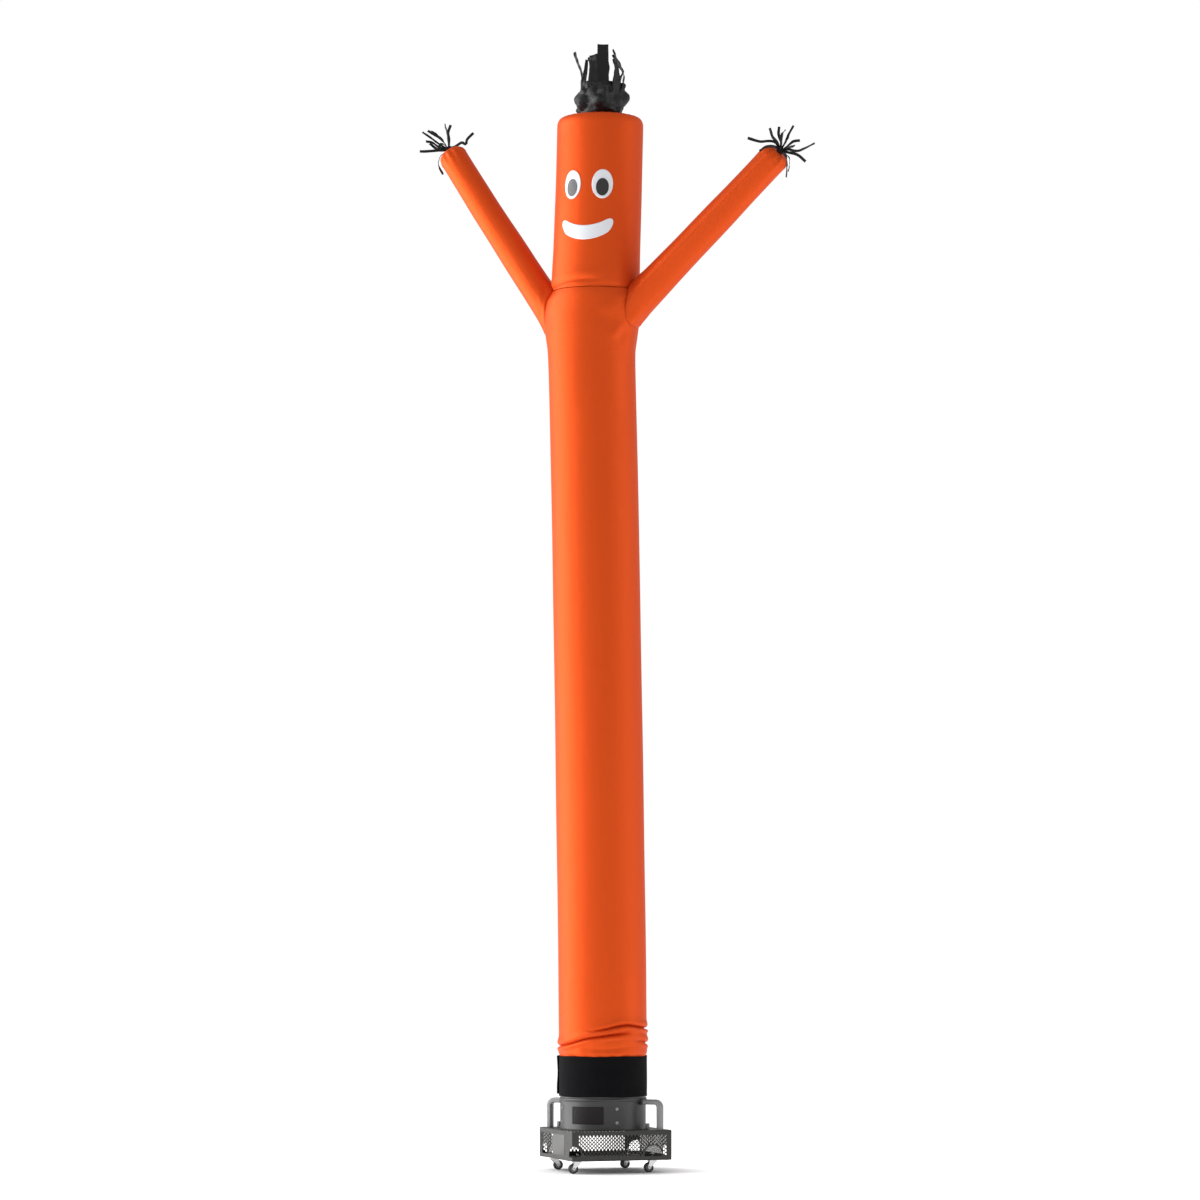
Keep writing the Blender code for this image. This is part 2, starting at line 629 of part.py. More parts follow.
# Each hand is a tuft of strips on a small root; a strip's points are side, depth and height
# from the arm's tip
# A strip that hangs down along the arm is twisted flat to it
HAND_ROOT_R = 0.017
HAND_ROOT_LONG = 0.026
HAND_SIDES = 14
HAND_WIDE = 0.014
HANGING = -0.09
HANDS = {
    "hand_left": {
        "arm": "arm_left",
        "strips": (
            ((-0.070, -0.006, 0.048), (-0.105, -0.012, 0.074), (-0.146, -0.016, 0.102)),
            ((-0.045, 0.018, 0.070), (-0.078, 0.030, 0.094), (-0.120, 0.040, 0.120)),
            ((-0.012, -0.012, 0.078), (-0.018, -0.018, 0.112), (-0.028, -0.022, 0.146)),
            ((-0.004, 0.026, 0.070), (-0.010, 0.034, 0.108), (0.004, 0.040, 0.152)),
            ((0.046, -0.012, 0.036), (0.066, -0.022, 0.046), (0.088, -0.026, 0.036), (0.094, -0.024, 0.062),
             (0.128, -0.022, 0.098)),
            ((-0.060, -0.034, 0.000), (-0.110, -0.042, -0.006), (-0.158, -0.046, -0.008)),
            ((-0.050, 0.040, 0.014), (-0.080, 0.056, 0.030), (-0.110, 0.066, 0.056)),
            ((-0.048, 0.000, -0.026), (-0.058, 0.002, -0.070), (-0.034, 0.000, -0.124)),
            ((0.010, 0.052, 0.030), (0.030, 0.078, 0.042), (0.050, 0.098, 0.030)),
            ((-0.030, -0.058, 0.028), (-0.046, -0.082, 0.024), (-0.052, -0.098, -0.006)),
        ),
    },
    "hand_right": {
        "arm": "arm_right",
        "strips": (
            ((-0.022, -0.030, 0.044), (-0.058, -0.040, 0.050), (-0.104, -0.044, 0.046),
             (-0.166, -0.046, 0.064)),
            ((-0.030, -0.056, 0.018), (-0.070, -0.072, 0.014), (-0.108, -0.078, -0.008)),
            ((-0.012, 0.000, 0.052), (-0.036, 0.004, 0.082), (-0.048, 0.006, 0.126)),
            ((0.010, 0.022, 0.056), (-0.002, 0.030, 0.094), (0.000, 0.034, 0.138)),
            ((0.036, -0.008, 0.058), (0.050, -0.012, 0.092), (0.074, -0.016, 0.134)),
            ((0.046, 0.030, 0.026), (0.066, 0.044, 0.034), (0.084, 0.056, 0.042)),
            ((0.048, -0.014, 0.010), (0.078, -0.022, 0.000), (0.112, -0.026, 0.004),
             (0.182, -0.030, 0.038)),
            ((0.050, -0.042, -0.012), (0.092, -0.052, -0.026), (0.132, -0.058, -0.062)),
            ((0.028, -0.058, -0.020), (0.034, -0.068, -0.066), (0.030, -0.072, -0.146)),
            ((0.050, 0.004, -0.030), (0.050, 0.006, -0.066), (0.044, 0.006, -0.102)),
            ((0.020, 0.056, 0.004), (0.034, 0.078, -0.018), (0.040, 0.090, -0.060)),
        ),
    },
}


def nearest_free(faces, used, start, centre):
    """The side face of the root that points most nearly towards a strip's first point."""
    want = (start - centre).normalized()
    free = [f for f in faces if f not in used]
    return max(free, key=lambda f: f.normal.dot(want))


def make_hand(name, look):
    hand = HANDS[name]
    _, tip, along = arm_line(ARMS[hand["arm"]])
    foot = tip + along * GAP
    head = foot + along * HAND_ROOT_LONG
    bm = bmesh.new()
    ends = [frame_at(place, along, HAND_ROOT_R) for place in (foot, head)]
    loft(bm, ends, HAND_SIDES, True, True)
    bmesh.ops.recalc_face_normals(bm, faces=bm.faces)
    centre = (foot + head) / 2
    sides = [f for f in bm.faces if len(f.verts) == 4]
    used = {}
    for number, strip in enumerate(hand["strips"]):
        used[number] = nearest_free(sides, used.values(), tip + Vector(strip[0]), centre)
    for number, strip in enumerate(hand["strips"]):
        face = used[number]
        out = face.calc_center_median() + face.normal * 0.006
        flat = pi / 2 if strip[-1][2] < HANGING else 0.0
        stations = [(out, HAND_WIDE, 0.0)] + [(tip + Vector(point), HAND_WIDE, flat) for point in strip]
        grow(bm, [face], stations, along)
    return finish(bm, name, look, sharp=50)


# The cuff is one band: it starts behind on the left, runs once round and laps over its start
BAND = 0.0022
CUFF_START = radians(-128.0)
CUFF_LAP = radians(42.0)
CUFF_CLIMB = radians(24.0)  # the band climbs over its start within this turn
LAP_GAP = 0.0012
CUFF_FREE = 0.006  # the free end stands off by this
CUFF_FREE_FROM = 0.955  # share of the band from which it does
CUFF_TRIM = 0.010  # the lap's low edge is this much higher
CUFF_TRIM_FROM = 0.94
CUFF_STEPS = 48


def make_cuff(look):
    """A hook-and-loop band round the duct's neck, whose free end laps over on the left."""
    columns = []
    for i in range(CUFF_STEPS + 1):
        share = i / CUFF_STEPS
        turn = share * (2 * pi + CUFF_LAP)
        climb = min(max((turn - 2 * pi + CUFF_CLIMB) / CUFF_CLIMB, 0.0), 1.0)
        free = max(share - CUFF_FREE_FROM, 0.0) / (1.0 - CUFF_FREE_FROM)
        inner = CUFF_R + (BAND + LAP_GAP) * climb + CUFF_FREE * free
        low = CUFF_LOW + CUFF_TRIM * (share > CUFF_TRIM_FROM)
        columns.append(shell_column(CUFF_START + turn, inner, inner + BAND, low, CUFF_HIGH))
    bm = bmesh.new()
    strip_of(bm, columns)
    return finish(bm, "cuff", look)


# The steel blower


def make_duct(look):
    """The fan's round housing, with a rolled rim under the cuff and a neck inside it."""
    inner = DUCT_R - DUCT_WALL
    bulge = 0.0045
    foot = DECK_TOP + GAP
    profile = [
        (inner, foot), (DUCT_R, foot), (DUCT_R, RIM_LOW), (DUCT_R + bulge * 0.8, RIM_LOW + 0.003),
        (DUCT_R + bulge, (RIM_LOW + RIM_HIGH) / 2), (DUCT_R + bulge * 0.8, RIM_HIGH - 0.003),
        (DUCT_R, RIM_HIGH), (DUCT_R, NECK_TOP), (inner, NECK_TOP),
    ]
    bm = bmesh.new()
    turned_ring(bm, profile, 40)
    bmesh.ops.translate(bm, verts=bm.verts, vec=(DUCT_X, 0.0, 0.0))
    return finish(bm, "duct", look)


BOLT_HEIGHTS = (0.256, 0.327)
BOLT_R = 0.0060


def make_duct_bolts(look):
    bolt = [(0.0, 0.0), (BOLT_R, 0.0), (BOLT_R, 0.0025), (0.0, 0.0045)]
    number = 0
    for quarter in range(4):
        azimuth = BASE_TURN + quarter * pi / 2
        for z in BOLT_HEIGHTS:
            number += 1
            bm = bmesh.new()
            turned(bm, bolt, 8)
            made = finish(bm, f"duct_bolt_{number}", look)
            made.location = polar(azimuth, DUCT_R + GAP, z)
            made.rotation_euler = (pi / 2, 0.0, azimuth)


def make_label_plate(look):
    """A bare plate on the duct, left of the middle."""
    low, high = 0.249, 0.339
    start, end = radians(-45.5), radians(0.9)
    inner, outer = DUCT_R + GAP, DUCT_R + 0.0015
    columns = []
    steps = 8
    for i in range(steps + 1):
        turn = start + (end - start) * i / steps
        columns.append(shell_column(turn, inner, outer, low, high))
    bm = bmesh.new()
    strip_of(bm, columns)
    return finish(bm, "label_plate", look)


# The sheet steel base; each wall is modelled as the front one and turned into place
HALF = BASE_SIDE / 2
GUSSET = 0.118
WINDOW_LOW = 0.087
WINDOW_R = 0.048
WINDOW_STRAIGHT = 0.007
HOLE_PITCH = 0.039
HOLE_HALF = 0.0115
ZONE_LOW = 0.088
ZONE_HIGH = 0.199
WALLS = {
    "wall_front": {"quarter": 0, "zone": (-0.222, 0.246), "window": 0.170, "corner": -1, "full": True},
    "wall_right": {"quarter": 1, "zone": (-0.246, 0.222), "window": -0.175, "corner": 1, "full": False},
    "wall_back": {"quarter": 2, "zone": (-0.222, 0.246), "window": 0.170, "corner": -1, "full": True},
    "wall_left": {"quarter": 3, "zone": (-0.246, -0.062), "window": -0.175, "corner": 1, "full": False},
}


def window_outline(middle):
    """A half-round window with a short straight foot, as (side, height) corners."""
    steps = 10
    outline = [(middle + WINDOW_R, WINDOW_LOW)]
    for i in range(steps + 1):
        turn = pi * i / steps
        rise = WINDOW_STRAIGHT + WINDOW_R * sin(turn)
        outline.append((middle + WINDOW_R * cos(turn), WINDOW_LOW + rise))
    outline.append((middle - WINDOW_R, WINDOW_LOW))
    return outline


def prism(bm, outline, near, far):
    """Push an outline of (side, height) corners through from one depth to another."""
    face = bm.faces.new([bm.verts.new((side, near, z)) for side, z in outline])
    geom = bmesh.ops.extrude_face_region(bm, geom=[face])["geom"]
    moved = [v for v in geom if isinstance(v, bmesh.types.BMVert)]
    bmesh.ops.translate(bm, verts=moved, vec=(0.0, far - near, 0.0))


def hole_middles(wall):
    """Centres of the diamond holes, in rows set off by half a pitch, clear of the windows."""
    low, high = wall["zone"]
    step = HOLE_PITCH / 2
    rows = int((ZONE_HIGH - ZONE_LOW - 2 * HOLE_HALF) / step) + 1
    clear = WINDOW_R + HOLE_HALF + 0.002
    for row in range(rows):
        z = ZONE_LOW + HOLE_HALF + row * step
        side = low + HOLE_HALF + (row % 2) * step
        while side <= high - HOLE_HALF:
            reach = WINDOW_LOW + WINDOW_STRAIGHT
            rise = max(z - reach, 0.0) ** 2
            middles = (wall["window"], wall["corner"] * HALF)
            if all((side - middle) ** 2 + rise > clear * clear for middle in middles):
                yield side, z
            side += HOLE_PITCH


def make_wall(name, look, base):
    wall = WALLS[name]
    half = HALF if wall["full"] else HALF - SHEET - GAP
    top = DECK_TOP - SHEET - GAP
    run = HALF - SHEET - GUSSET - 2 * GAP
    lip = BASE_BOTTOM + 0.0025
    bm = bmesh.new()
    box(bm, (-half, -HALF, BASE_BOTTOM), (half, -HALF + SHEET, top))
    for place, normal in (((-run, 0, 0), (1, 0, 0)), ((run, 0, 0), (1, 0, 0)), ((0, 0, lip), (0, 0, 1))):
        whole = bm.verts[:] + bm.edges[:] + bm.faces[:]
        bmesh.ops.bisect_plane(bm, geom=whole, plane_co=place, plane_no=normal)
    bmesh.ops.recalc_face_normals(bm, faces=bm.faces)
    flange = [
        f for f in bm.faces
        if f.normal.y > 0.9 and f.calc_center_median().z < lip and abs(f.calc_center_median().x) < run
    ]
    geom = bmesh.ops.extrude_face_region(bm, geom=flange)["geom"]
    bmesh.ops.delete(bm, geom=flange, context="FACES_ONLY")
    moved = [v for v in geom if isinstance(v, bmesh.types.BMVert)]
    bmesh.ops.translate(bm, verts=moved, vec=(0.0, 0.020, 0.0))
    made = finish(bm, name, look, base)
    made.rotation_euler.z = wall["quarter"] * pi / 2

    near, far = -HALF - 0.01, -HALF + 0.01
    tool = bmesh.new()
    prism(tool, window_outline(wall["window"]), near, far)
    corner = wall["corner"] * HALF
    prism(tool, window_outline(corner), near, far)
    for side, z in hole_middles(wall):
        diamond = [
            (side + HOLE_HALF, z), (side, z + HOLE_HALF), (side - HOLE_HALF, z), (side, z - HOLE_HALF),
        ]
        prism(tool, diamond, near, far)
    cutter = guide(tool, name + "_cutter", base)
    cutter.rotation_euler.z = wall["quarter"] * pi / 2
    cut(made, cutter)
    return made


def make_deck(look, base):
    bm = bmesh.new()
    box(bm, (-HALF, -HALF, DECK_TOP - SHEET), (HALF, HALF, DECK_TOP))
    deck = finish(bm, "deck", look, base)
    tool = bmesh.new()
    centre = base.matrix_world.inverted() @ Vector((DUCT_X, 0.0, DECK_TOP))
    shift = Vector((centre.x, centre.y, 0.0))
    low, high = Vector((0, 0, DECK_TOP - 0.02)) + shift, Vector((0, 0, DECK_TOP + 0.02)) + shift
    loft(tool, [frame_at(low, (0, 0, 1), 0.214), frame_at(high, (0, 0, 1), 0.214)], 48, True, True)
    cut(deck, guide(tool, "deck_cutter", base))
    return deck


# Corners of the base, named as the viewer sees them: signs along and across, swivel's angle from +X
CORNERS = {
    "front_left": {"u": -1, "v": -1, "trail_deg": 200.0},
    "front_right": {"u": 1, "v": -1, "trail_deg": 200.0},
    "back_right": {"u": 1, "v": 1, "trail_deg": 195.0},
    "back_left": {"u": -1, "v": 1, "trail_deg": 15.0},
}
STEM_R = 0.0052
STEM_HOLE_R = 0.0057
GUSSET_TOP = BASE_BOTTOM + 0.003


def stem_place(corner):
    """Where a caster's upright axis stands, in the world."""
    u, v = corner["u"] * STEM_U, corner["v"] * STEM_V
    x = DUCT_X + u * cos(BASE_TURN) - v * sin(BASE_TURN)
    y = u * sin(BASE_TURN) + v * cos(BASE_TURN)
    return Vector((x, y, 0.0))


def make_gusset(name, corner, look, base):
    inside = HALF - SHEET - GAP
    bm = bmesh.new()
    low = (min(corner["u"] * inside, corner["u"] * (inside - GUSSET)),
           min(corner["v"] * inside, corner["v"] * (inside - GUSSET)), BASE_BOTTOM)
    box(bm, low, (low[0] + GUSSET, low[1] + GUSSET, GUSSET_TOP))
    made = finish(bm, "gusset_" + name, look, base)
    tool = bmesh.new()
    place = stem_place(corner)
    through = (BASE_BOTTOM - 0.01, GUSSET_TOP + 0.01)
    ends = [frame_at(place + Vector((0, 0, z)), (0, 0, 1), STEM_HOLE_R) for z in through]
    loft(tool, ends, 12, True, True)
    cut(made, guide(tool, f"gusset_{name}_cutter"))
    return made


def make_stem(name, corner, look):
    """The caster's fixed plate, its threaded stem through the gusset and the nut on top."""
    plate = BASE_BOTTOM - GAP
    profile = [
        (0.0, 0.0628), (0.0200, 0.0628), (0.0200, plate), (STEM_R, plate), (STEM_R, GUSSET_TOP + GAP),
        (0.0080, GUSSET_TOP + GAP), (0.0080, 0.088), (0.0105, 0.088), (0.0105, 0.098), (0.0, 0.1015),
    ]
    bm = bmesh.new()
    turned(bm, profile, 10)
    made = finish(bm, "caster_stem_" + name, look)
    made.location = stem_place(corner)
    return made


FORK_TOP = 0.0622
CROWN_LOW = 0.0545
FORK_HALF = 0.0150
LEG_INSIDE = 0.0122
AXLE_R = 0.0030
AXLE_HOLE_R = 0.0034


def make_fork(name, look, swivel):
    """A pressed steel fork: a crown under the plate, two legs back to the axle, a brake tab in front."""
    outline = [(-0.027, 0.0535), (-0.027, 0.0565), (-0.0185, FORK_TOP - 0.0045), (-0.0185, FORK_TOP),
               (0.0185, FORK_TOP), (0.0195, CROWN_LOW), (TRAIL + 0.0085, AXLE_Z + 0.002)]
    for i in range(1, 5):
        turn = -pi * i / 5
        outline.append((TRAIL + 0.0085 * cos(turn), AXLE_Z + 0.0085 * sin(turn)))
    outline += [(TRAIL - 0.0085, AXLE_Z + 0.002), (-0.0130, 0.0480), (-0.0160, 0.0535)]
    bm = bmesh.new()
    prism(bm, outline, -FORK_HALF, FORK_HALF)
    fork = finish(bm, "caster_fork_" + name, look, swivel)
    slot = bmesh.new()
    box(slot, (-0.05, -LEG_INSIDE, -0.01), (0.06, LEG_INSIDE, 0.0532))
    cut(fork, guide(slot, f"fork_{name}_slot", swivel))
    bore = bmesh.new()
    ends = [frame_at((TRAIL, y, AXLE_Z), (0, 1, 0), AXLE_HOLE_R) for y in (-0.03, 0.03)]
    loft(bore, ends, 8, True, True)
    cut(fork, guide(bore, f"fork_{name}_bore", swivel))
    return fork


def make_wheel(name, look, swivel):
    bore, side = AXLE_HOLE_R, WHEEL_HALF
    profile = [
        (bore, -side), (0.0180, -side), (0.0230, -side), (WHEEL_R, -side + 0.003),
        (WHEEL_R, side - 0.003), (0.0230, side), (0.0180, side), (bore, side),
    ]
    bm = bmesh.new()
    turned_ring(bm, profile, WHEEL_SIDES)
    # half a side's turn sets one flat of the tread on the floor
    bmesh.ops.rotate(bm, verts=bm.verts, matrix=Matrix.Rotation(pi / WHEEL_SIDES, 3, "Z"))
    bmesh.ops.rotate(bm, verts=bm.verts, matrix=Matrix.Rotation(pi / 2, 3, "X"))
    wheel = finish(bm, "caster_wheel_" + name, look, swivel)
    wheel.location = (TRAIL, 0.0, AXLE_Z)
    return wheel


def make_axle(name, look, swivel):
    out = FORK_HALF + GAP
    profile = [
        (0.0, -out - 0.003), (0.0055, -out - 0.003), (0.0055, -out), (AXLE_R, -out),
        (AXLE_R, out), (0.0055, out), (0.0055, out + 0.003), (0.0, out + 0.003),
    ]
    bm = bmesh.new()
    turned(bm, profile, 8, axis="Y")
    axle = finish(bm, "caster_axle_" + name, look, swivel)
    axle.location = (TRAIL, 0.0, AXLE_Z)
    return axle


def make_casters(look, base):
    for name, corner in CORNERS.items():
        make_gusset(name, corner, look["dark_steel"], base)
        make_stem(name, corner, look["chrome"])
        swivel = empty("caster_swivel_" + name, stem_place(corner), radians(corner["trail_deg"]))
        make_fork(name, look["chrome"], swivel)
        make_wheel(name, look["wheel_rubber"], swivel)
        make_axle(name, look["chrome"], swivel)


# The two handles stand on opposite corners of the deck and reach in to the duct's rim
HANDLE_DEEP = 0.026
HANDLE_WIDE = 0.040
HANDLE_TOP = 0.373
HANDLE_BEND = 0.014  # inside radius
BRACKET_IN = 0.2270
BRACKET_OUT = 0.2385
HANDLES = {"left": {"turn": radians(-135.0), "out": 0.320}, "right": {"turn": radians(45.0), "out": 0.340}}


def bar_frame(centre, along):
    """A rectangular cross-section of the handle's bar, which lies across the way it runs."""
    deep = Vector(along).cross(Vector((1, 0, 0)))
    turn = Matrix((Vector((1, 0, 0)), deep, Vector(along))).transposed().to_4x4()
    size = Matrix.Diagonal((HANDLE_WIDE / sqrt(2), HANDLE_DEEP / sqrt(2), 1.0, 1.0))
    return Matrix.Translation(centre) @ turn @ size @ Matrix.Rotation(pi / 4, 4, "Z")


def make_handle(side, look, duct_middle):
    """A bar out from the rim, round a bend and down to the deck."""
    turn = HANDLES[side]["turn"]
    middle = HANDLE_TOP - HANDLE_DEEP / 2
    bend = HANDLE_BEND + HANDLE_DEEP / 2
    out = HANDLES[side]["out"] - HANDLE_DEEP / 2 - bend
    steps = 5
    frames = [bar_frame((0.0, -BRACKET_OUT - GAP, middle), (0, -1, 0))]
    for i in range(steps + 1):
        angle = pi / 2 * i / steps
        centre = (0.0, -out - bend * sin(angle), middle - bend * (1 - cos(angle)))
        frames.append(bar_frame(centre, (0.0, -cos(angle), -sin(angle))))
    frames.append(bar_frame((0.0, -out - bend, DECK_TOP + GAP), (0, 0, -1)))
    bm = bmesh.new()
    loft(bm, frames, 4, True, True)
    handle = finish(bm, "handle_" + side, look["grey_steel"], duct_middle)
    handle.rotation_euler.z = turn
    edge = handle.modifiers.new("round edges", "BEVEL")
    edge.width = 0.003
    edge.segments = 1
    edge.limit_method = "ANGLE"
    edge.angle_limit = radians(50)

    plate = bmesh.new()
    low, high = HANDLE_TOP - HANDLE_DEEP - 0.002, HANDLE_TOP + 0.004
    box(plate, (-0.026, -BRACKET_OUT, low), (0.026, -BRACKET_IN, high))
    bracket = finish(plate, "handle_bracket_" + side, look["dark_steel"], duct_middle)
    bracket.rotation_euler.z = turn

    clip = bmesh.new()
    prism(clip, [(-0.2630, DECK_TOP + GAP), (-0.2630, 0.2500), (-0.2480, 0.2500), (-0.2480, 0.2240),
                 (-0.2345, 0.2240), (-0.2345, DECK_TOP + GAP)], -0.011, 0.011)
    foot = finish(clip, "foot_clip_" + side, look["grey_steel"], duct_middle)
    foot.rotation_euler.z = turn + pi / 2


def make_cover(look, base):
    """A plain cover plate with two screws on the left wall."""
    outside = HALF + GAP
    thick = 0.003
    bm = bmesh.new()
    box(bm, (-0.052, -outside - thick, 0.0915), (0.149, -outside, 0.196))
    cover = finish(bm, "cover_plate", look["grey_steel"], base)
    cover.rotation_euler.z = WALLS["wall_left"]["quarter"] * pi / 2
    screw = [(0.0, 0.0), (0.0050, 0.0), (0.0042, 0.0022), (0.0, 0.0030)]
    for number, z in enumerate((0.1000, 0.1875), 1):
        head = bmesh.new()
        turned(head, screw, 10, axis="Y")
        bmesh.ops.translate(head, verts=head.verts, vec=(-0.044, -outside - thick - GAP, z))
        made = finish(head, f"cover_screw_{number}", look["chrome"], base)
        made.rotation_euler.z = WALLS["wall_left"]["quarter"] * pi / 2


def main():
    clear_scene()
    look = looks()
    shift = Vector((DUCT_X + BASE_SHIFT, 0.0, 0.0))
    base = empty("base_middle", shift, BASE_TURN)
    duct_middle = empty("duct_middle", (DUCT_X, 0.0, 0.0), BASE_TURN)
    bpy.context.view_layer.update()

    holes = [make_armhole("armhole_left", -1), make_armhole("armhole_right", 1)]
    make_body(look["orange_cloth"], holes)
    make_head(look["orange_cloth"])
    cores = make_cores()
    for name in ARMS:
        make_arm(name, look["orange_cloth"], cores)
    make_face(look)
    make_hair(look["black_cloth"])
    for name in HANDS:
        make_hand(name, look["black_cloth"])
    make_cuff(look["black_band"])

    make_duct(look["dark_steel"])
    make_duct_bolts(look["chrome"])
    make_label_plate(look["label_film"])
    make_deck(look["dark_steel"], base)
    for name in WALLS:
        make_wall(name, look["dark_steel"], base)
    make_cover(look, base)
    for side in HANDLES:
        make_handle(side, look, duct_middle)
    make_casters(look, base)

    for thing in bpy.data.objects:
        if thing.parent is None:
            thing.location += TO_MIDDLE


main()
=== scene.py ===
# %% [markdown]
# # Dressing an inflatable air dancer on its blower
#
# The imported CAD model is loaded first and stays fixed. Around it this script lays fine cloth,
# sews a face on, cuts streamers, and builds the steel blower with its punched walls and casters.
# All sizes are real ones in metres, +Z is up and the floor is at z = 0.

from math import atan2, cos, degrees, exp, hypot, pi, radians, sin, sqrt

import bmesh
import bpy
from mathutils import Matrix, Vector, noise


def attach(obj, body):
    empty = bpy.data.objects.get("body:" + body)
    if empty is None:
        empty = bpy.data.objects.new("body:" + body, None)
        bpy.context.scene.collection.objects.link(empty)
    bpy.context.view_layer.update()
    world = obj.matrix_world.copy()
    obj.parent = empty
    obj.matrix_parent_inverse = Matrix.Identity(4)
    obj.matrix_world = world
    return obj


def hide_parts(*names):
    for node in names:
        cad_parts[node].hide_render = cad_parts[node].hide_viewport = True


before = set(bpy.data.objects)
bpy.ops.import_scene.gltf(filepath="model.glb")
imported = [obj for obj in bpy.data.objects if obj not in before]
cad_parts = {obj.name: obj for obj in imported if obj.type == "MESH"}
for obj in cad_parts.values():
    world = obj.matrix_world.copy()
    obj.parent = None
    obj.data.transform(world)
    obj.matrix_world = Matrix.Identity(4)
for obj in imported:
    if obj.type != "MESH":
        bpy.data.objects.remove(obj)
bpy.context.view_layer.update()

# %% [markdown]
# ## Where the main pieces stand
#
# Everything on the dancer is round an upright axis, so most places are given as an azimuth
# round the duct (0 faces the viewer and it grows to the right) and a height. The steel base is
# turned on the floor, so its pieces are modelled square and turned into place at the end.

# %% Main places and sizes
DUCT = Vector((-0.059, 0.039, 0.0))
BASE_TURN = radians(18.8)
BASE = Matrix.Translation(DUCT + Vector((0.011, 0.0, 0.0))) @ Matrix.Rotation(BASE_TURN, 4, "Z")

TUBE_R = 0.2285
FOOT_Z = 0.582
SHOULDER_Z = 4.593
HEAD_TOP_Z = 5.512
ARM_TURN = radians(24.0)
FACE_TURN = radians(-15.5)
BODY = "base"


def polar(azimuth, radius, z, off_x=0.0):
    """A point round the duct's axis."""
    return Vector((DUCT.x + off_x + radius * sin(azimuth), DUCT.y - radius * cos(azimuth), z))


def ease(value):
    """A soft step from 0 to 1."""
    value = min(max(value, 0.0), 1.0)
    return value * value * (3.0 - 2.0 * value)


def bump_at(value, middle, half):
    """A soft hill of height 1 at the middle."""
    return exp(-((value - middle) / half) ** 2)


def smooth(rows, at, column=1):
    """Read a smooth curve through rows whose first column is the place along it."""
    k = 0
    while k < len(rows) - 2 and at > rows[k + 1][0]:
        k += 1
    a, b = rows[k], rows[k + 1]
    before = rows[k - 1] if k else a
    after = rows[k + 2] if k + 2 < len(rows) else b
    span = b[0] - a[0]
    t = min(max((at - a[0]) / span, 0.0), 1.0)
    slope_a = (b[column] - before[column]) / (b[0] - before[0]) * span
    slope_b = (after[column] - a[column]) / (after[0] - a[0]) * span
    return (
        a[column] * (2 * t ** 3 - 3 * t ** 2 + 1) + b[column] * (3 * t ** 2 - 2 * t ** 3)
        + slope_a * (t ** 3 - 2 * t ** 2 + t) + slope_b * (t ** 3 - t ** 2)
    )


# %% [markdown]
# ## Node helpers
#
# Materials are node trees. A small helper adds a node and wires it in one line, so that each
# finish below reads as a recipe. Effects that several finishes share are node groups.

# %% Helpers for node trees
def add(tree, kind, inputs=None, **settings):
    """Add a node, set its properties, and wire or set its inputs by name or number."""
    made = tree.nodes.new(kind)
    for key, value in settings.items():
        setattr(made, key, value)
    for key, value in (inputs or {}).items():
        if isinstance(value, bpy.types.NodeSocket):
            tree.links.new(value, made.inputs[key])
        else:
            made.inputs[key].default_value = value
    return made


def calc(tree, operation, one, two=0.0, three=0.0):
    """A Math node's result."""
    made = add(tree, "ShaderNodeMath", {0: one, 1: two, 2: three}, operation=operation)
    return made.outputs[0]


def blend_colours(tree, share, one, two):
    """Mix two colours by a share."""
    return add(tree, "ShaderNodeMix", {0: share, 6: one, 7: two}, data_type="RGBA").outputs[2]


def effect(name, inputs, outputs):
    """Start a node group with named inputs (kind, value) and outputs (kind)."""
    tree = bpy.data.node_groups.new(name, "ShaderNodeTree")
    for label, (kind, value) in inputs.items():
        socket = tree.interface.new_socket(label, in_out="INPUT", socket_type=kind)
        if value is not None:
            socket.default_value = value
    for label, kind in outputs.items():
        tree.interface.new_socket(label, in_out="OUTPUT", socket_type=kind)
    inlet = tree.nodes.new("NodeGroupInput")
    outlet = tree.nodes.new("NodeGroupOutput")
    return tree, inlet.outputs, outlet.inputs


def use(tree, group, **inputs):
    """Place a node group and give its outputs."""
    made = tree.nodes.new("ShaderNodeGroup")
    made.node_tree = group
    for key, value in inputs.items():
        socket = made.inputs[key.replace("_", " ")]
        if isinstance(value, bpy.types.NodeSocket):
            tree.links.new(value, socket)
        else:
            socket.default_value = value
    return made.outputs


VALUE, VECTOR = "NodeSocketFloat", "NodeSocketVector"

# %% [markdown]
# ## Shared effects
#
# *Weave* gives the height of a plain weave from a flat place in metres. *Stitch row* marks a
# dashed line of thread at a distance from an edge. *Unevenness* is soft cloudy variation.
# *Powder coat* is the fine orange peel of sprayed paint with dust that settles near the floor.

# %% Node groups
weave, gin, gout = effect(
    "weave", {"Place": (VECTOR, None), "Thread": (VALUE, 0.0008)}, {"Height": VALUE}
)
parts = add(weave, "ShaderNodeSeparateXYZ", {0: gin["Place"]}).outputs
turns = calc(weave, "DIVIDE", 2 * pi, gin["Thread"])
warp = calc(weave, "SINE", calc(weave, "MULTIPLY", parts["X"], turns))
weft = calc(weave, "SINE", calc(weave, "MULTIPLY", parts["Y"], turns))
woven = calc(weave, "MULTIPLY_ADD", calc(weave, "MULTIPLY", warp, weft), 0.5, 0.5)
weave.links.new(woven, gout["Height"])

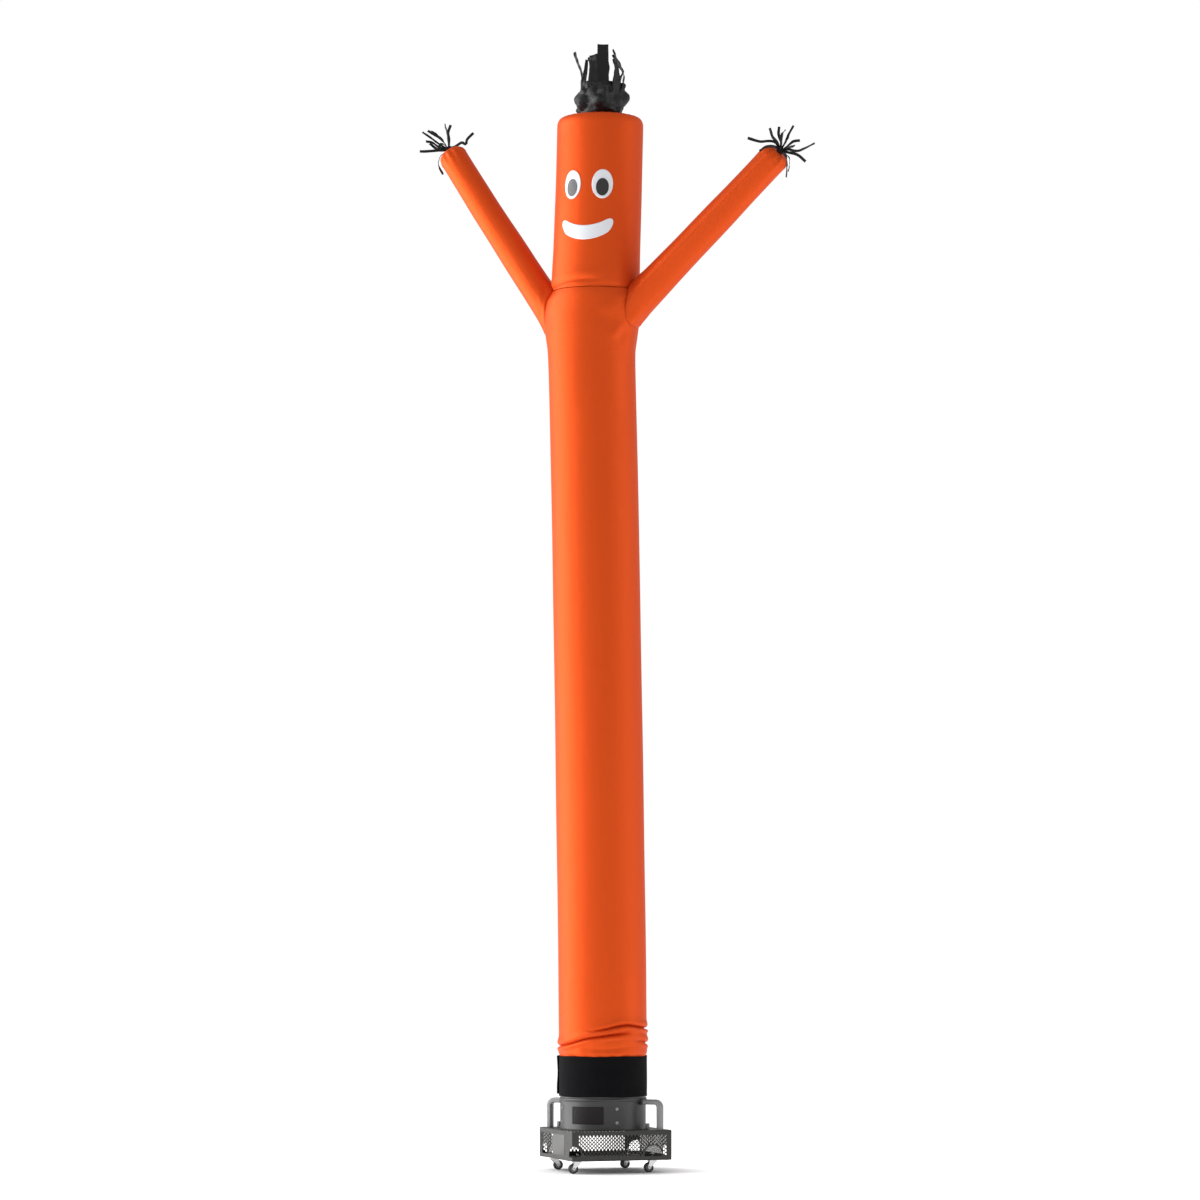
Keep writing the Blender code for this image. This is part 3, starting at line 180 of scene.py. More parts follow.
stitch_row, gin, gout = effect(
    "stitch row",
    {
        "Across": (VALUE, 0.0), "Along": (VALUE, 0.0), "Place": (VALUE, 0.008),
        "Length": (VALUE, 0.0045), "Width": (VALUE, 0.0012),
    },
    {"Mask": VALUE},
)
away = calc(stitch_row, "ABSOLUTE", calc(stitch_row, "SUBTRACT", gin["Across"], gin["Place"]))
on_line = calc(stitch_row, "LESS_THAN", away, calc(stitch_row, "MULTIPLY", gin["Width"], 0.5))
beat = calc(stitch_row, "FRACT", calc(stitch_row, "DIVIDE", gin["Along"], gin["Length"]))
shown = calc(stitch_row, "LESS_THAN", beat, 0.68)
stitch_row.links.new(calc(stitch_row, "MULTIPLY", on_line, shown), gout["Mask"])

unevenness, gin, gout = effect(
    "unevenness", {"Place": (VECTOR, None), "Size": (VALUE, 0.1)}, {"Value": VALUE}
)
cloud = add(
    unevenness, "ShaderNodeTexNoise",
    {"Vector": gin["Place"], "Scale": calc(unevenness, "DIVIDE", 1.0, gin["Size"]), "Detail": 4.0},
)
unevenness.links.new(cloud.outputs["Fac"], gout["Value"])

powder, gin, gout = effect(
    "powder coat",
    {"Place": (VECTOR, None), "Grain": (VALUE, 0.0015), "Dust height": (VALUE, 0.25)},
    {"Height": VALUE, "Dust": VALUE, "Scuff": VALUE},
)
peel = add(
    powder, "ShaderNodeTexNoise",
    {"Vector": gin["Place"], "Scale": calc(powder, "DIVIDE", 1.0, gin["Grain"]), "Detail": 2.0},
)
powder.links.new(peel.outputs["Fac"], gout["Height"])
rise = add(powder, "ShaderNodeSeparateXYZ", {0: gin["Place"]}).outputs["Z"]
low_down = calc(powder, "SUBTRACT", 1.0, calc(powder, "DIVIDE", rise, gin["Dust height"]))
low_down = calc(powder, "MAXIMUM", low_down, 0.12)
drift = add(powder, "ShaderNodeTexNoise", {"Vector": gin["Place"], "Scale": 9.0, "Detail": 6.0})
dusty = calc(powder, "MULTIPLY", low_down, calc(powder, "POWER", drift.outputs["Fac"], 3.0))
powder.links.new(calc(powder, "MULTIPLY", dusty, 2.0), gout["Dust"])
lines = add(powder, "ShaderNodeMapping", {0: gin["Place"], "Scale": (40.0, 40.0, 700.0)})
scratch = add(powder, "ShaderNodeTexNoise", {"Vector": lines.outputs[0], "Scale": 1.0, "Detail": 3.0})
sparse = calc(powder, "GREATER_THAN", scratch.outputs["Fac"], 0.70)
powder.links.new(calc(powder, "MULTIPLY", sparse, drift.outputs["Fac"]), gout["Scuff"])
print("effects", [weave.name, stitch_row.name, unevenness.name, powder.name])


# %% [markdown]
# ## Cloth finishes
#
# The orange cloth is light coated nylon. Its satin threads mirror the studio's side panels in
# their own colour, which a little metallic value imitates. Every cloth reads a UV map named
# "flat", whose numbers are metres on the cut cloth, so weave and stitches follow the cloth.

# %% Cloth finishes
def new_look(name, roughness, metallic=0.0):
    made = bpy.data.materials.new(name)
    made.use_nodes = True
    shader = made.node_tree.nodes["Principled BSDF"]
    shader.inputs["Roughness"].default_value = roughness
    shader.inputs["Metallic"].default_value = metallic
    return made, made.node_tree, shader


def flat_place(tree):
    return add(tree, "ShaderNodeUVMap", uv_map="flat").outputs["UV"]


def object_place(tree):
    return add(tree, "ShaderNodeTexCoord").outputs["Object"]


def raise_by(tree, shader, height, distance, strength=1.0):
    relief = add(
        tree, "ShaderNodeBump", {"Height": height, "Distance": distance, "Strength": strength}
    )
    tree.links.new(relief.outputs["Normal"], shader.inputs["Normal"])


def cloth_look(
    name, light, dark, roughness, metallic=0.0, rows_at=(), thread=0.0009, shine=0.5, gloss=(1.0, 1.0, 1.0),
):
    """Woven cloth: two near colours in soft clouds, weave, fine crinkles and rows of stitches with painted
    shade on their dashes.
    """
    made, tree, shader = new_look(name, roughness, metallic)
    place = flat_place(tree)
    shader.inputs["Specular IOR Level"].default_value = shine
    shader.inputs["Specular Tint"].default_value = (*gloss, 1.0)
    clouds = use(tree, unevenness, Place=place, Size=0.35)["Value"]
    fibres = use(tree, weave, Place=place, Thread=thread)["Height"]
    crinkle = use(tree, unevenness, Place=place, Size=0.03)["Value"]
    colour = blend_colours(tree, clouds, (*dark, 1.0), (*light, 1.0))
    height = calc(tree, "MULTIPLY_ADD", fibres, 0.10, calc(tree, "MULTIPLY", crinkle, 0.9))
    flat = add(tree, "ShaderNodeSeparateXYZ", {0: place}).outputs
    for across, along, where in rows_at:
        mask = use(
            tree, stitch_row, Across=flat[across], Along=flat[along], Place=where
        )["Mask"]
        # each stitch dash is darkened: painted shade of the needle holes
        shade = tuple(0.55 * c for c in dark)
        colour = blend_colours(tree, calc(tree, "MULTIPLY", mask, 0.8), colour, (*shade, 1.0))
        height = calc(tree, "MULTIPLY_ADD", mask, 0.5, height)
    tree.links.new(colour, shader.inputs["Base Color"])
    rough = calc(tree, "MULTIPLY_ADD", crinkle, 0.16, roughness - 0.08)
    tree.links.new(rough, shader.inputs["Roughness"])
    raise_by(tree, shader, height, 0.0012)
    return made


ORANGE = (0.680, 0.078, 0.0125)
DEEP_ORANGE = (0.620, 0.068, 0.0105)
ORANGE_ROUGH = 0.42
ORANGE_SATIN = 0.32
ORANGE_SHINE = 0.15
ORANGE_GLOSS = (1.0, 0.45, 0.22)
SIDE_SEAM = (("X", "Y", 0.006), ("X", "Y", 0.012))


def orange_look(name, rows_at):
    """The dancer's cloth with its rows of stitches."""
    return cloth_look(
        name, ORANGE, DEEP_ORANGE, ORANGE_ROUGH, ORANGE_SATIN, rows_at, shine=ORANGE_SHINE,
        gloss=ORANGE_GLOSS,
    )



black_cloth = cloth_look(
    "black_streamer_cloth", (0.0085, 0.0085, 0.0090), (0.0050, 0.0050, 0.0055), 0.38, shine=0.26,
)
white_cloth = cloth_look("white_face_cloth", (0.78, 0.80, 0.83), (0.70, 0.72, 0.76), 0.45, 0.05)
# The left pupil is the same black cloth as the right one; its lighter grey is a painted sheen.
pupil_cloth_painted_sheen = cloth_look("lit_pupil_cloth_painted_sheen", (0.115, 0.115, 0.120), (0.095, 0.095, 0.10), 0.42)
dark_cloth = cloth_look("dark_pupil_cloth", (0.020, 0.020, 0.020), (0.014, 0.014, 0.014), 0.42)
print("cloth finishes ready")


# %% [markdown]
# ## From a mesh in the making to a piece
#
# Every piece ends the same way: named, shaded, given its finish, and parented to an empty for
# the CAD body it moves with; the CAD nodes it stands for are hidden.

# %% Helper that finishes a piece
def piece(bm, name, look, slot, body=BODY, stands_for=(), sharp=40.0, wall=0.0):
    mesh = bpy.data.meshes.new(name)
    bm.to_mesh(mesh)
    bm.free()
    mesh.shade_smooth()
    mesh.set_sharp_from_angle(angle=radians(sharp))
    mesh.materials.append(look)
    thing = bpy.data.objects.new(name, mesh)
    bpy.context.scene.collection.objects.link(thing)
    if wall:
        thick = thing.modifiers.new("cloth or plate", "SOLIDIFY")
        thick.thickness = wall
        thick.offset = -1.0
    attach(thing, body)
    if stands_for:
        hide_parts(*stands_for)
    return thing


def area_of(thing):
    return sum(face.area for face in thing.data.polygons)


# %% [markdown]
# ## Cut flat, roll, sew
#
# A dancer's tubes are cut from flat cloth, rolled and sewn along one edge. The helper does the
# same: a flat grid keeps its places as a UV map in metres, is laid by a function of its two
# shares across and up, and its two side edges are merged where it is sewn.

# %% Helper that lays a flat cloth
def lay_cloth(bm, wide, long, columns, rows, shape, sewn=False):
    flat = bm.loops.layers.uv.get("flat") or bm.loops.layers.uv.new("flat")
    made = bmesh.ops.create_grid(bm, x_segments=columns, y_segments=rows, size=0.5)["verts"]
    for face in {face for vert in made for face in vert.link_faces}:
        for loop in face.loops:
            place = loop.vert.co
            loop[flat].uv = ((place.x + 0.5) * wide, (place.y + 0.5) * long)
    for vert in made:
        vert.co = shape(vert.co.x + 0.5, vert.co.y + 0.5)
    if sewn:
        bmesh.ops.remove_doubles(bm, verts=made, dist=1e-5)


# %% [markdown]
# ## The trunk's shape
#
# The tube leans a little more the higher it goes. The shoulder seam draws it in, air swells it
# out round the armholes, and the slack cloth above the cuff lies in a few creases. Each of
# these is one small function of azimuth and height, and the trunk adds them up.

# %% Middle line and plain radius of the trunk and the head
LEAN, LEAN_MORE, LEAN_FROM = -0.00981, -0.001683, 0.600
SEAM_DEPTH = 0.0045
SEAM_HALF = 0.019


def leaning(z):
    rise = max(z - LEAN_FROM, 0.0)
    return LEAN * rise + LEAN_MORE * rise * rise


MIDDLE_LINE = (
    (4.000, leaning(4.000)), (4.120, leaning(4.120)), (4.312, leaning(4.312)), (4.420, -0.0575),
    (4.500, -0.0510), (4.550, -0.0450), (4.593, -0.0400), (4.690, -0.0370), (4.960, -0.0283),
    (5.180, -0.0212), (5.470, -0.0144), (5.560, -0.0138),
)


def middle_x(z):
    """How far the tube's middle is from the duct's axis."""
    return leaning(z) if z < MIDDLE_LINE[1][0] else smooth(MIDDLE_LINE, z)


def trunk_radius(z):
    tucked = 0.0056 * (1.0 - ease((z - 0.592) / 0.022))
    belly = 0.0025 * bump_at(z, 0.650, 0.035)
    seam = SEAM_DEPTH * bump_at(z, SHOULDER_Z, SEAM_HALF)
    return TUBE_R - tucked + belly - seam + 0.0015 * bump_at(z, 4.545, 0.03)


HEAD_R = 0.2295
TOP_ROUND = 0.042


def head_radius(z):
    seam = SEAM_DEPTH * bump_at(z, SHOULDER_Z, SEAM_HALF)
    narrow = 0.0025 * ease((z - 4.95) / 0.40)
    corner = min(max((z - (HEAD_TOP_Z - TOP_ROUND)) / TOP_ROUND, 0.0), 1.0)
    rounded = 0.0220 * (1.0 - sqrt(1.0 - corner * corner * 0.98))
    return HEAD_R + 0.002 * bump_at(z, 4.69, 0.08) - seam - narrow - rounded


# %% Swell round the armholes
SWELL, SWELL_Z, SWELL_SPREAD, SEAM_FADE = 0.032, 4.480, 0.150, 0.045


def armhole_away(azimuth, z, side):
    """Where a point lies round an armhole: across and up on the cloth."""
    turn = (azimuth - side * pi / 2 + ARM_TURN + pi) % (2 * pi) - pi
    return turn * TUBE_R, z - SWELL_Z


def shoulder_swell(azimuth, z):
    push = 0.0
    for side in (-1, 1):
        across, up = armhole_away(azimuth, z, side)
        push = max(push, SWELL * exp(-(across ** 2 + up ** 2) / SWELL_SPREAD ** 2))
    return push * min(max((SHOULDER_Z - z) / SEAM_FADE, 0.0), 1.0)


def tension_lines(azimuth, z):
    """Soft creases that run out from the armholes like rays."""
    push = 0.0
    for side, rays, phase in ((-1, 7, 0.8), (1, 8, 2.2)):
        across, up = armhole_away(azimuth, z, side)
        reach = hypot(across, up)
        ray = sin(rays * atan2(up, across) + phase + 1.5 * noise.noise(Vector((across, up, 3.0)) * 9))
        push += 0.0034 * ray * bump_at(reach, 0.175, 0.055)
    return push


# %% [markdown]
# ## Creases above the cuff
#
# Each crease is a path of (azimuth, height) stops round the tube, with a sharp valley and two
# rolls: the cloth above sags over the valley and the cloth below stands out as a soft ledge.

# %% Creases at the foot and under the head
FOOT_CREASES = (
    {
        "stops": ((-130, 0.628), (-85, 0.650), (-54, 0.659), (-18, 0.691), (12, 0.709), (34, 0.716)),
        "deep": 0.017, "half": 0.0075, "below": 0.007, "above": 0.006, "sag": 0.006,
    },
    {
        "stops": ((-12, 0.726), (2, 0.736), (20, 0.752), (35, 0.758), (53, 0.750), (80, 0.741),
                  (112, 0.736), (130, 0.730)),
        "deep": 0.018, "half": 0.0070, "below": 0.008, "above": 0.005, "sag": 0.006,
    },
    {
        "stops": ((58, 0.678), (82, 0.664), (120, 0.660), (168, 0.664)),
        "deep": 0.013, "half": 0.0075, "below": 0.004, "above": 0.007, "sag": 0.004,
    },
    {
        "stops": ((126, 0.724), (160, 0.716), (200, 0.702), (238, 0.690)),
        "deep": 0.015, "half": 0.0080, "below": 0.006, "above": 0.006, "sag": 0.005,
    },
    {
        "stops": ((-30, 0.640), (-5, 0.633), (18, 0.636), (40, 0.646)),
        "deep": 0.004, "half": 0.0120, "below": 0.001, "above": 0.002, "sag": 0.0,
    },
)
HEAD_CREASES = (
    {
        "stops": ((-96, 4.606), (-84, 4.609), (-41, 4.628), (-22, 4.631), (-4, 4.630)),
        "deep": 0.011, "half": 0.0120, "below": 0.003, "above": 0.004, "sag": 0.0,
    },
    {
        "stops": ((150, 4.628), (185, 4.640), (215, 4.634), (245, 4.620)),
        "deep": 0.007, "half": 0.0140, "below": 0.002, "above": 0.002, "sag": 0.0,
    },
)
CREASE_FADE = 17.0


def creased(azimuth, z, creases):
    """How far the creases push the cloth out, and how far down."""
    push = drop = 0.0
    for crease in creases:
        stops = crease["stops"]
        turn = (degrees(azimuth) - stops[0][0] + CREASE_FADE) % 360.0 + stops[0][0] - CREASE_FADE
        inside = min(turn - stops[0][0], stops[-1][0] - turn)
        share = ease((inside + CREASE_FADE) / (2 * CREASE_FADE))
        if share == 0.0:
            continue
        off = (z - smooth(stops, turn)) / crease["half"]
        push -= share * crease["deep"] * exp(-abs(off) ** 1.5)
        push += share * crease["below"] * bump_at(off, -2.4, 1.5)
        push += share * crease["above"] * bump_at(off, 2.8, 1.9)
        drop += share * crease["sag"] * bump_at(off, 1.4, 1.6)
    return push, drop


def trunk_reach(azimuth, z):
    """The trunk's or the head's radius, with the swell round the armholes."""
    if z > SHOULDER_Z:
        return head_radius(z)
    return trunk_radius(z) + shoulder_swell(azimuth, z)


# %% [markdown]
# ## The trunk
#
# The rows of the grid are close together where the cloth folds and far apart on the straight
# run, so one even share up the cloth is first turned into a height.

# %% The trunk cloth
TRUNK_HEIGHTS = (
    (0.00, FOOT_Z), (0.36, 0.785), (0.43, 1.00), (0.58, 3.95), (0.66, 4.25), (1.00, SHOULDER_Z),
)
TRUNK_LONG = SHOULDER_Z - FOOT_Z
AROUND = 2 * pi * TUBE_R


def straight(rows, at):
    """Read a broken line through (place, value) rows."""
    for a, b in zip(rows, rows[1:]):
        if at <= b[0]:
            return a[1] + (b[1] - a[1]) * (at - a[0]) / (b[0] - a[0])
    return rows[-1][1]


def trunk_shape(u, v):
    azimuth = pi + 2 * pi * u
    z = straight(TRUNK_HEIGHTS, v)
    push, drop = creased(azimuth, z, FOOT_CREASES) if z < 0.9 else (0.0, 0.0)
    if z > 4.0:
        push += tension_lines(azimuth, z)
        push -= 0.0012 * abs(sin(38 * azimuth)) * exp(-(SHOULDER_Z - z) / 0.016)
    near_cuff = exp(-max(z - 0.60, 0.0) / 0.050)
    push += 0.0016 * near_cuff * sin(17 * azimuth + 2 * sin(3 * azimuth))
    push += 0.0022 * noise.noise(Vector((sin(azimuth), cos(azimuth), z * 1.3)))
    return polar(azimuth, trunk_reach(azimuth, z) + push, z - drop, middle_x(z))


trunk_rows = [("Y", "X", where) for where in (TRUNK_LONG - 0.007, TRUNK_LONG - 0.013, 0.024)]
orange_trunk = orange_look("orange_trunk_cloth", (*trunk_rows, *SIDE_SEAM))
bm = bmesh.new()
lay_cloth(bm, AROUND, TRUNK_LONG, 168, 172, trunk_shape, sewn=True)
trunk = piece(bm, "trunk_cloth", orange_trunk, "orange_cloth", stands_for=["body_tube"], wall=0.0012)
print("trunk cloth", round(area_of(trunk), 2), "m2 from", round(AROUND * TRUNK_LONG, 2))

# %% [markdown]
# ## The head
#
# The head is a second rolled tube, sewn to the trunk at the shoulder seam and to a round top
# panel. The panel's edge is a small rolled seam, and air crowns it a little.

# %% The head cloth and its top panel
HEAD_LONG = HEAD_TOP_Z - SHOULDER_Z
HEAD_HEIGHTS = ((0.00, SHOULDER_Z + 0.0004), (0.30, 4.72), (0.75, 5.44), (1.00, HEAD_TOP_Z))
TOP_R = head_radius(HEAD_TOP_Z)


def head_shape(u, v):
    azimuth = pi + 2 * pi * u
    z = straight(HEAD_HEIGHTS, v)
    push, drop = creased(azimuth, z, HEAD_CREASES) if z < 4.72 else (0.0, 0.0)
    push -= 0.0012 * abs(sin(38 * azimuth)) * exp(-(z - SHOULDER_Z) / 0.016)
    push -= 0.0011 * abs(sin(31 * azimuth)) * exp(-(HEAD_TOP_Z - z) / 0.020)
    push += 0.0020 * noise.noise(Vector((sin(azimuth), cos(azimuth), z * 1.7 + 8.0)))
    return polar(azimuth, head_radius(z) + push, z - drop, middle_x(z))


head_rows = [("Y", "X", where) for where in (0.007, 0.013, HEAD_LONG - 0.010)]
orange_head = orange_look("orange_head_cloth", (*head_rows, *SIDE_SEAM))
bm = bmesh.new()
lay_cloth(bm, AROUND, HEAD_LONG, 168, 110, head_shape, sewn=True)
head = piece(bm, "head_cloth", orange_head, "orange_cloth", stands_for=["head_tube"], wall=0.0012)


def top_shape(u, v):
    """A disc as a rolled strip: across is the turn and up is from the edge to the middle."""
    azimuth = pi + 2 * pi * u
    radius = (TOP_R + 0.0012) * (1.0 - v)
    crown = 0.017 * (1.0 - (radius / TOP_R) ** 2)
    lip = 0.0025 * bump_at(radius, TOP_R - 0.006, 0.004)
    ripple = 0.0010 * sin(31 * azimuth) * bump_at(radius, TOP_R - 0.012, 0.02)
    return polar(azimuth, radius, HEAD_TOP_Z + crown + lip + ripple, middle_x(HEAD_TOP_Z))


orange_top = orange_look("orange_top_cloth", (("Y", "X", 0.008), ("Y", "X", 0.094)))
bm = bmesh.new()
lay_cloth(bm, 2 * pi * TOP_R, TOP_R, 96, 24, top_shape, sewn=True)
bmesh.ops.remove_doubles(bm, verts=bm.verts, dist=1e-5)
top_panel = piece(bm, "head_top_panel", orange_top, "orange_cloth", wall=0.0012)
print("head cloth", round(area_of(head), 2), "m2; top panel", round(area_of(top_panel), 3), "m2")

# %% [markdown]
# ## The arms
#
# An arm is a tapered tube on a slightly sagging line. Its root is cut to the shoulder: for each
# thread along the arm, the script walks from inside the trunk until it comes out of the cloth,
# and the arm starts there. The far end is drawn together round the streamers.

# %% The arm cloths
SHOULDER_X = -0.063
ARMS = {
    "left": {"root": (-0.1168, 4.348), "tip": (-0.8305, 5.4030), "bow": 0.010,
             "root_r": 0.0975, "tip_r": 0.0745, "flare": 0.020, "flat": (0.600, 1.13)},
    "right": {"root": (0.0903, 4.368), "tip": (1.0686, 5.2604), "bow": 0.002,
              "root_r": 0.1010, "tip_r": 0.0770, "flare": 0.024, "flat": (0.620, 1.18)},
}
END_LONG = 0.050
END_R = 0.015
ARM_ROWS, END_ROWS = 96, 26


def in_arm_plane(side, z):
    return DUCT + Vector((SHOULDER_X + side * cos(ARM_TURN), -side * sin(ARM_TURN), z))


def arm_axes(arm):
    """Root, unit vector along the arm, level unit vector across it, and the third one."""
    root, tip = in_arm_plane(*arm["root"]), in_arm_plane(*arm["tip"])
    along = (tip - root).normalized()
    level = along.cross(Vector((0, 0, 1))).normalized()
    if level.y > 0:
        level = -level
    return root, (tip - root).length, along, level, level.cross(along) * (1 if along.x > 0 else -1)


def outside_trunk(point):
    away = point - DUCT
    away.x -= middle_x(point.z)
    return hypot(away.x, away.y) > trunk_reach(atan2(away.x, -away.y), point.z) - 0.002


def arm_point(arm, axes, turn, run):
    """A point of the arm's cloth at a turn round it and a run along it from the root."""
    root, length, along, level, lift = axes
    share = min(run / (length - 0.072), 1.0)
    radius = arm["root_r"] + (arm["tip_r"] - arm["root_r"]) * sqrt(max(share, 0.0))
    radius += arm["flare"] * abs(cos(turn)) ** 1.5 * exp(-max(run - 0.10, 0.0) / 0.07)
    sag = Vector((0, 0, -arm["bow"])) * sin(pi * min(max(share, 0.0), 1.0))
    return root + along * run + sag + (level * cos(turn) + lift * sin(turn)) * radius


def armhole_run(arm, axes, turn):
    """How far along the arm a thread comes out of the trunk."""
    low, high = 0.0, 0.60
    while outside_trunk(arm_point(arm, axes, turn, low)) and low > -0.3:
        low -= 0.05
    for _ in range(22):
        middle = (low + high) / 2
        if outside_trunk(arm_point(arm, axes, turn, middle)):
            high = middle
        else:
            low = middle
    return high


def make_arm(side):
    arm = ARMS[side]
    axes = arm_axes(arm)
    root, length, along, level, lift = axes
    columns = 96
    starts = [armhole_run(arm, axes, 2 * pi * k / columns) for k in range(columns)]
    straight_share = ARM_ROWS / (ARM_ROWS + END_ROWS)
    handed = 1 if along.x > 0 else -1

    def shape(u, v):
        k = round(u * columns) % columns
        turn = 2 * pi * k / columns
        start, stop = starts[k], length - END_LONG
        if v <= straight_share:
            part = (v / straight_share) ** 1.15
            run = start + (stop - start) * part
            from_seam = run - start
            point = arm_point(arm, axes, turn, run)
            out = level * cos(turn) + lift * sin(turn)
            seam = -0.0012 * exp(-from_seam / 0.006) + 0.003 * bump_at(from_seam, 0.020, 0.014)
            rays = 0.0026 * sin(6 * turn + 1.1) * bump_at(from_seam, 0.055, 0.040)
            wide = 0.0024 * noise.noise(Vector((cos(turn), sin(turn), run * 4.0 + 5 * handed)))
            gather = 0.0022 * sin(12 * turn) * exp(-(stop - run) / 0.035)
            return point + out * (seam + rays + wide + gather)
        part = (v - straight_share) / (1.0 - straight_share)
        bent = part * pi / 2
        radius = END_R + (arm["tip_r"] - END_R) * cos(bent) ** 0.62
        radius += 0.0030 * sin(12 * turn) * cos(bent)
        run = stop + END_LONG * sin(bent)
        dimple = 0.004 * bump_at(part, 1.0, 0.16)
        out = level * cos(turn) + lift * sin(turn)
        return root + along * (run - dimple) + out * radius

    root_rows = (("Y", "X", 0.006), ("Y", "X", 0.012))
    look = orange_look(f"orange_arm_cloth_{side}", (*root_rows, *SIDE_SEAM))
    bm = bmesh.new()
    lay_cloth(bm, *arm["flat"], columns, ARM_ROWS + END_ROWS, shape, sewn=True)
    bmesh.ops.recalc_face_normals(bm, faces=bm.faces)
    middle = root + along * length / 2
    face = min(bm.faces, key=lambda f: (f.calc_center_median() - middle).length)
    if face.normal.dot(face.calc_center_median() - middle) < 0:
        bmesh.ops.reverse_faces(bm, faces=bm.faces)
    made = piece(bm, f"arm_cloth_{side}", look, "orange_cloth", stands_for=[f"arm_{side}"], wall=0.0012)
    print("arm", side, round(area_of(made), 3), "m2; starts", round(min(starts), 3), round(max(starts), 3))
    return axes


arm_lines = {side: make_arm(side) for side in ARMS}

# %% [markdown]
# ## The sewn-on face
#
# The eyes and the smile are cloth patches with a thin rolled edge. Each is a flat grid squeezed
# into its outline and bent round the head. Its distance off the head grows from the edge over
# one stitch width, so light catches the rim as it does on a real patch.

# %% The face
PATCH = 0.0009
EYES = {
    "left": {"azimuth": radians(-36.9), "half_w": 0.0515, "z": 5.1330, "half_h": 0.0760},
    "right": {"azimuth": radians(5.0), "half_w": 0.0560, "z": 5.1300, "half_h": 0.0770},
}
PUPIL_SHARE, PUPIL_DROP = 0.60, 0.0165


def on_head(along, z, azimuth, lift):
    turn = azimuth + along / HEAD_R
    uneven = 0.0020 * noise.noise(Vector((sin(turn), cos(turn), z * 1.7 + 8.0)))
    return polar(turn, head_radius(z) + uneven + lift, z, middle_x(z))


def rim_lift(u, v):
    """A patch's edge is turned under, so it is thicker there and lies down at the very edge."""
    edge = 1.0 - max(abs(2 * u - 1), abs(2 * v - 1))
    return 0.0006 * ease(edge / 0.05) + 0.0007 * bump_at(edge, 0.09, 0.05)


def oval_shape(azimuth, half_w, z, half_h, lift):
    def shape(u, v):
        # the square's edge is mapped on the oval's, so its rows run round the rim
        x, y = 2 * u - 1, 2 * v - 1
        round_x = x * sqrt(1.0 - y * y / 2)
        round_y = y * sqrt(1.0 - x * x / 2)
        return on_head(round_x * half_w, z + round_y * half_h, azimuth, lift + rim_lift(u, v))

    return shape


def sew_patch(name, wide, long, columns, rows, shape, look, slot, node):
    bm = bmesh.new()
    lay_cloth(bm, wide, long, columns, rows, shape)
    made = piece(bm, name, look, slot, stands_for=[node], wall=PATCH)
    print(name, round(area_of(made), 4), "m2 of", round(wide * long, 4))
    return made


for side, eye in EYES.items():
    sew_patch(
        f"eye_patch_{side}", 2 * eye["half_w"], 2 * eye["half_h"], 40, 40,
        oval_shape(eye["azimuth"], eye["half_w"], eye["z"], eye["half_h"], PATCH + 0.0006),
        white_cloth, "white_cloth", f"eye_{side}",
    )
    half_w, half_h = eye["half_w"] * PUPIL_SHARE, eye["half_h"] * PUPIL_SHARE
    # the left pupil takes the lighter copy of the black cloth, a painted sheen
    look, slot = (pupil_cloth_painted_sheen, "grey_print") if side == "left" else (dark_cloth, "black_print")
    sew_patch(
        f"pupil_patch_{side}", 2 * half_w, 2 * half_h, 32, 32,
        oval_shape(eye["azimuth"], half_w, eye["z"] - PUPIL_DROP, half_h, 2 * PATCH + 0.0022),
        look, slot, f"pupil_{side}",
    )

SMILE = {"half_w": 0.1460, "low_z": 4.838, "middle_z": 4.913, "tip_low_z": 4.894, "tip_z": 4.966}
SMILE_END = 0.036


def smile_shape(u, v):
    """A bent band of nearly even width whose two ends are round."""
    across = -cos(pi * u)
    rise = across * across
    low = SMILE["low_z"] + (SMILE["tip_low_z"] - SMILE["low_z"]) * rise
    high = SMILE["middle_z"] + (SMILE["tip_z"] - SMILE["middle_z"]) * rise
    from_end = (1.0 - abs(across)) * SMILE["half_w"] / SMILE_END
    round_end = sqrt(max(1.0 - (1.0 - min(from_end, 1.0)) ** 2, 0.0))
    middle, reach = (low + high) / 2, (high - low) / 2 * max(round_end, 0.02)
    z = middle + (2 * v - 1) * reach
    return on_head(across * SMILE["half_w"], z, FACE_TURN, PATCH + 0.0006 + rim_lift(u, v))


sew_patch(
    "smile_patch", 0.292, 0.128, 80, 20, smile_shape, white_cloth, "white_cloth", "smile",
)

# %% [markdown]
# ## Ribbons
#
# Streamers are strips cut into the same light cloth. A ribbon is a narrow grid along a smooth
# route; it keeps its flat side towards a given direction, may twist, and is dished a little
# across, because a strip that stands up by itself always is.

# %% Helper that lays a ribbon
def lay_ribbon(bm, route, flat_side, rows=16, dish=0.10, crinkle=0.0015, seed=0.0):
    """Route rows: place, x, y, z, width, twist in radians."""
    last = route[-1][0]
    long = sum(
        (Vector(b[1:4]) - Vector(a[1:4])).length for a, b in zip(route, route[1:])
    )

    def shape(u, v):
        at = v * last
        centre = Vector([smooth(route, at, k) for k in (1, 2, 3)])
        step = 0.02 * last
        ahead = Vector([smooth(route, min(at + step, last), k) for k in (1, 2, 3)])
        behind = Vector([smooth(route, max(at - step, 0.0), k) for k in (1, 2, 3)])
        along = (ahead - behind).normalized()
        side = (flat_side - along * flat_side.dot(along)).normalized()
        side = Matrix.Rotation(smooth(route, at, 5), 3, along) @ side
        out = side.cross(along)
        wide = smooth(route, at, 4)
        across = 2 * u - 1
        ripple = crinkle * noise.noise(Vector((across * 0.8, v * 7.0, seed))) * 2
        return centre + side * across * wide / 2 + out * (dish * wide * across * across + ripple)

    lay_cloth(bm, route[0][4], long, 4, rows, shape)
    return long * route[1][4]


# %% [markdown]
# ## The hair
#
# The hair is one crumpled black sleeve with its top cut into strips. The crumple is a cell
# pattern: the cloth stands out in the cells and creases along their borders.

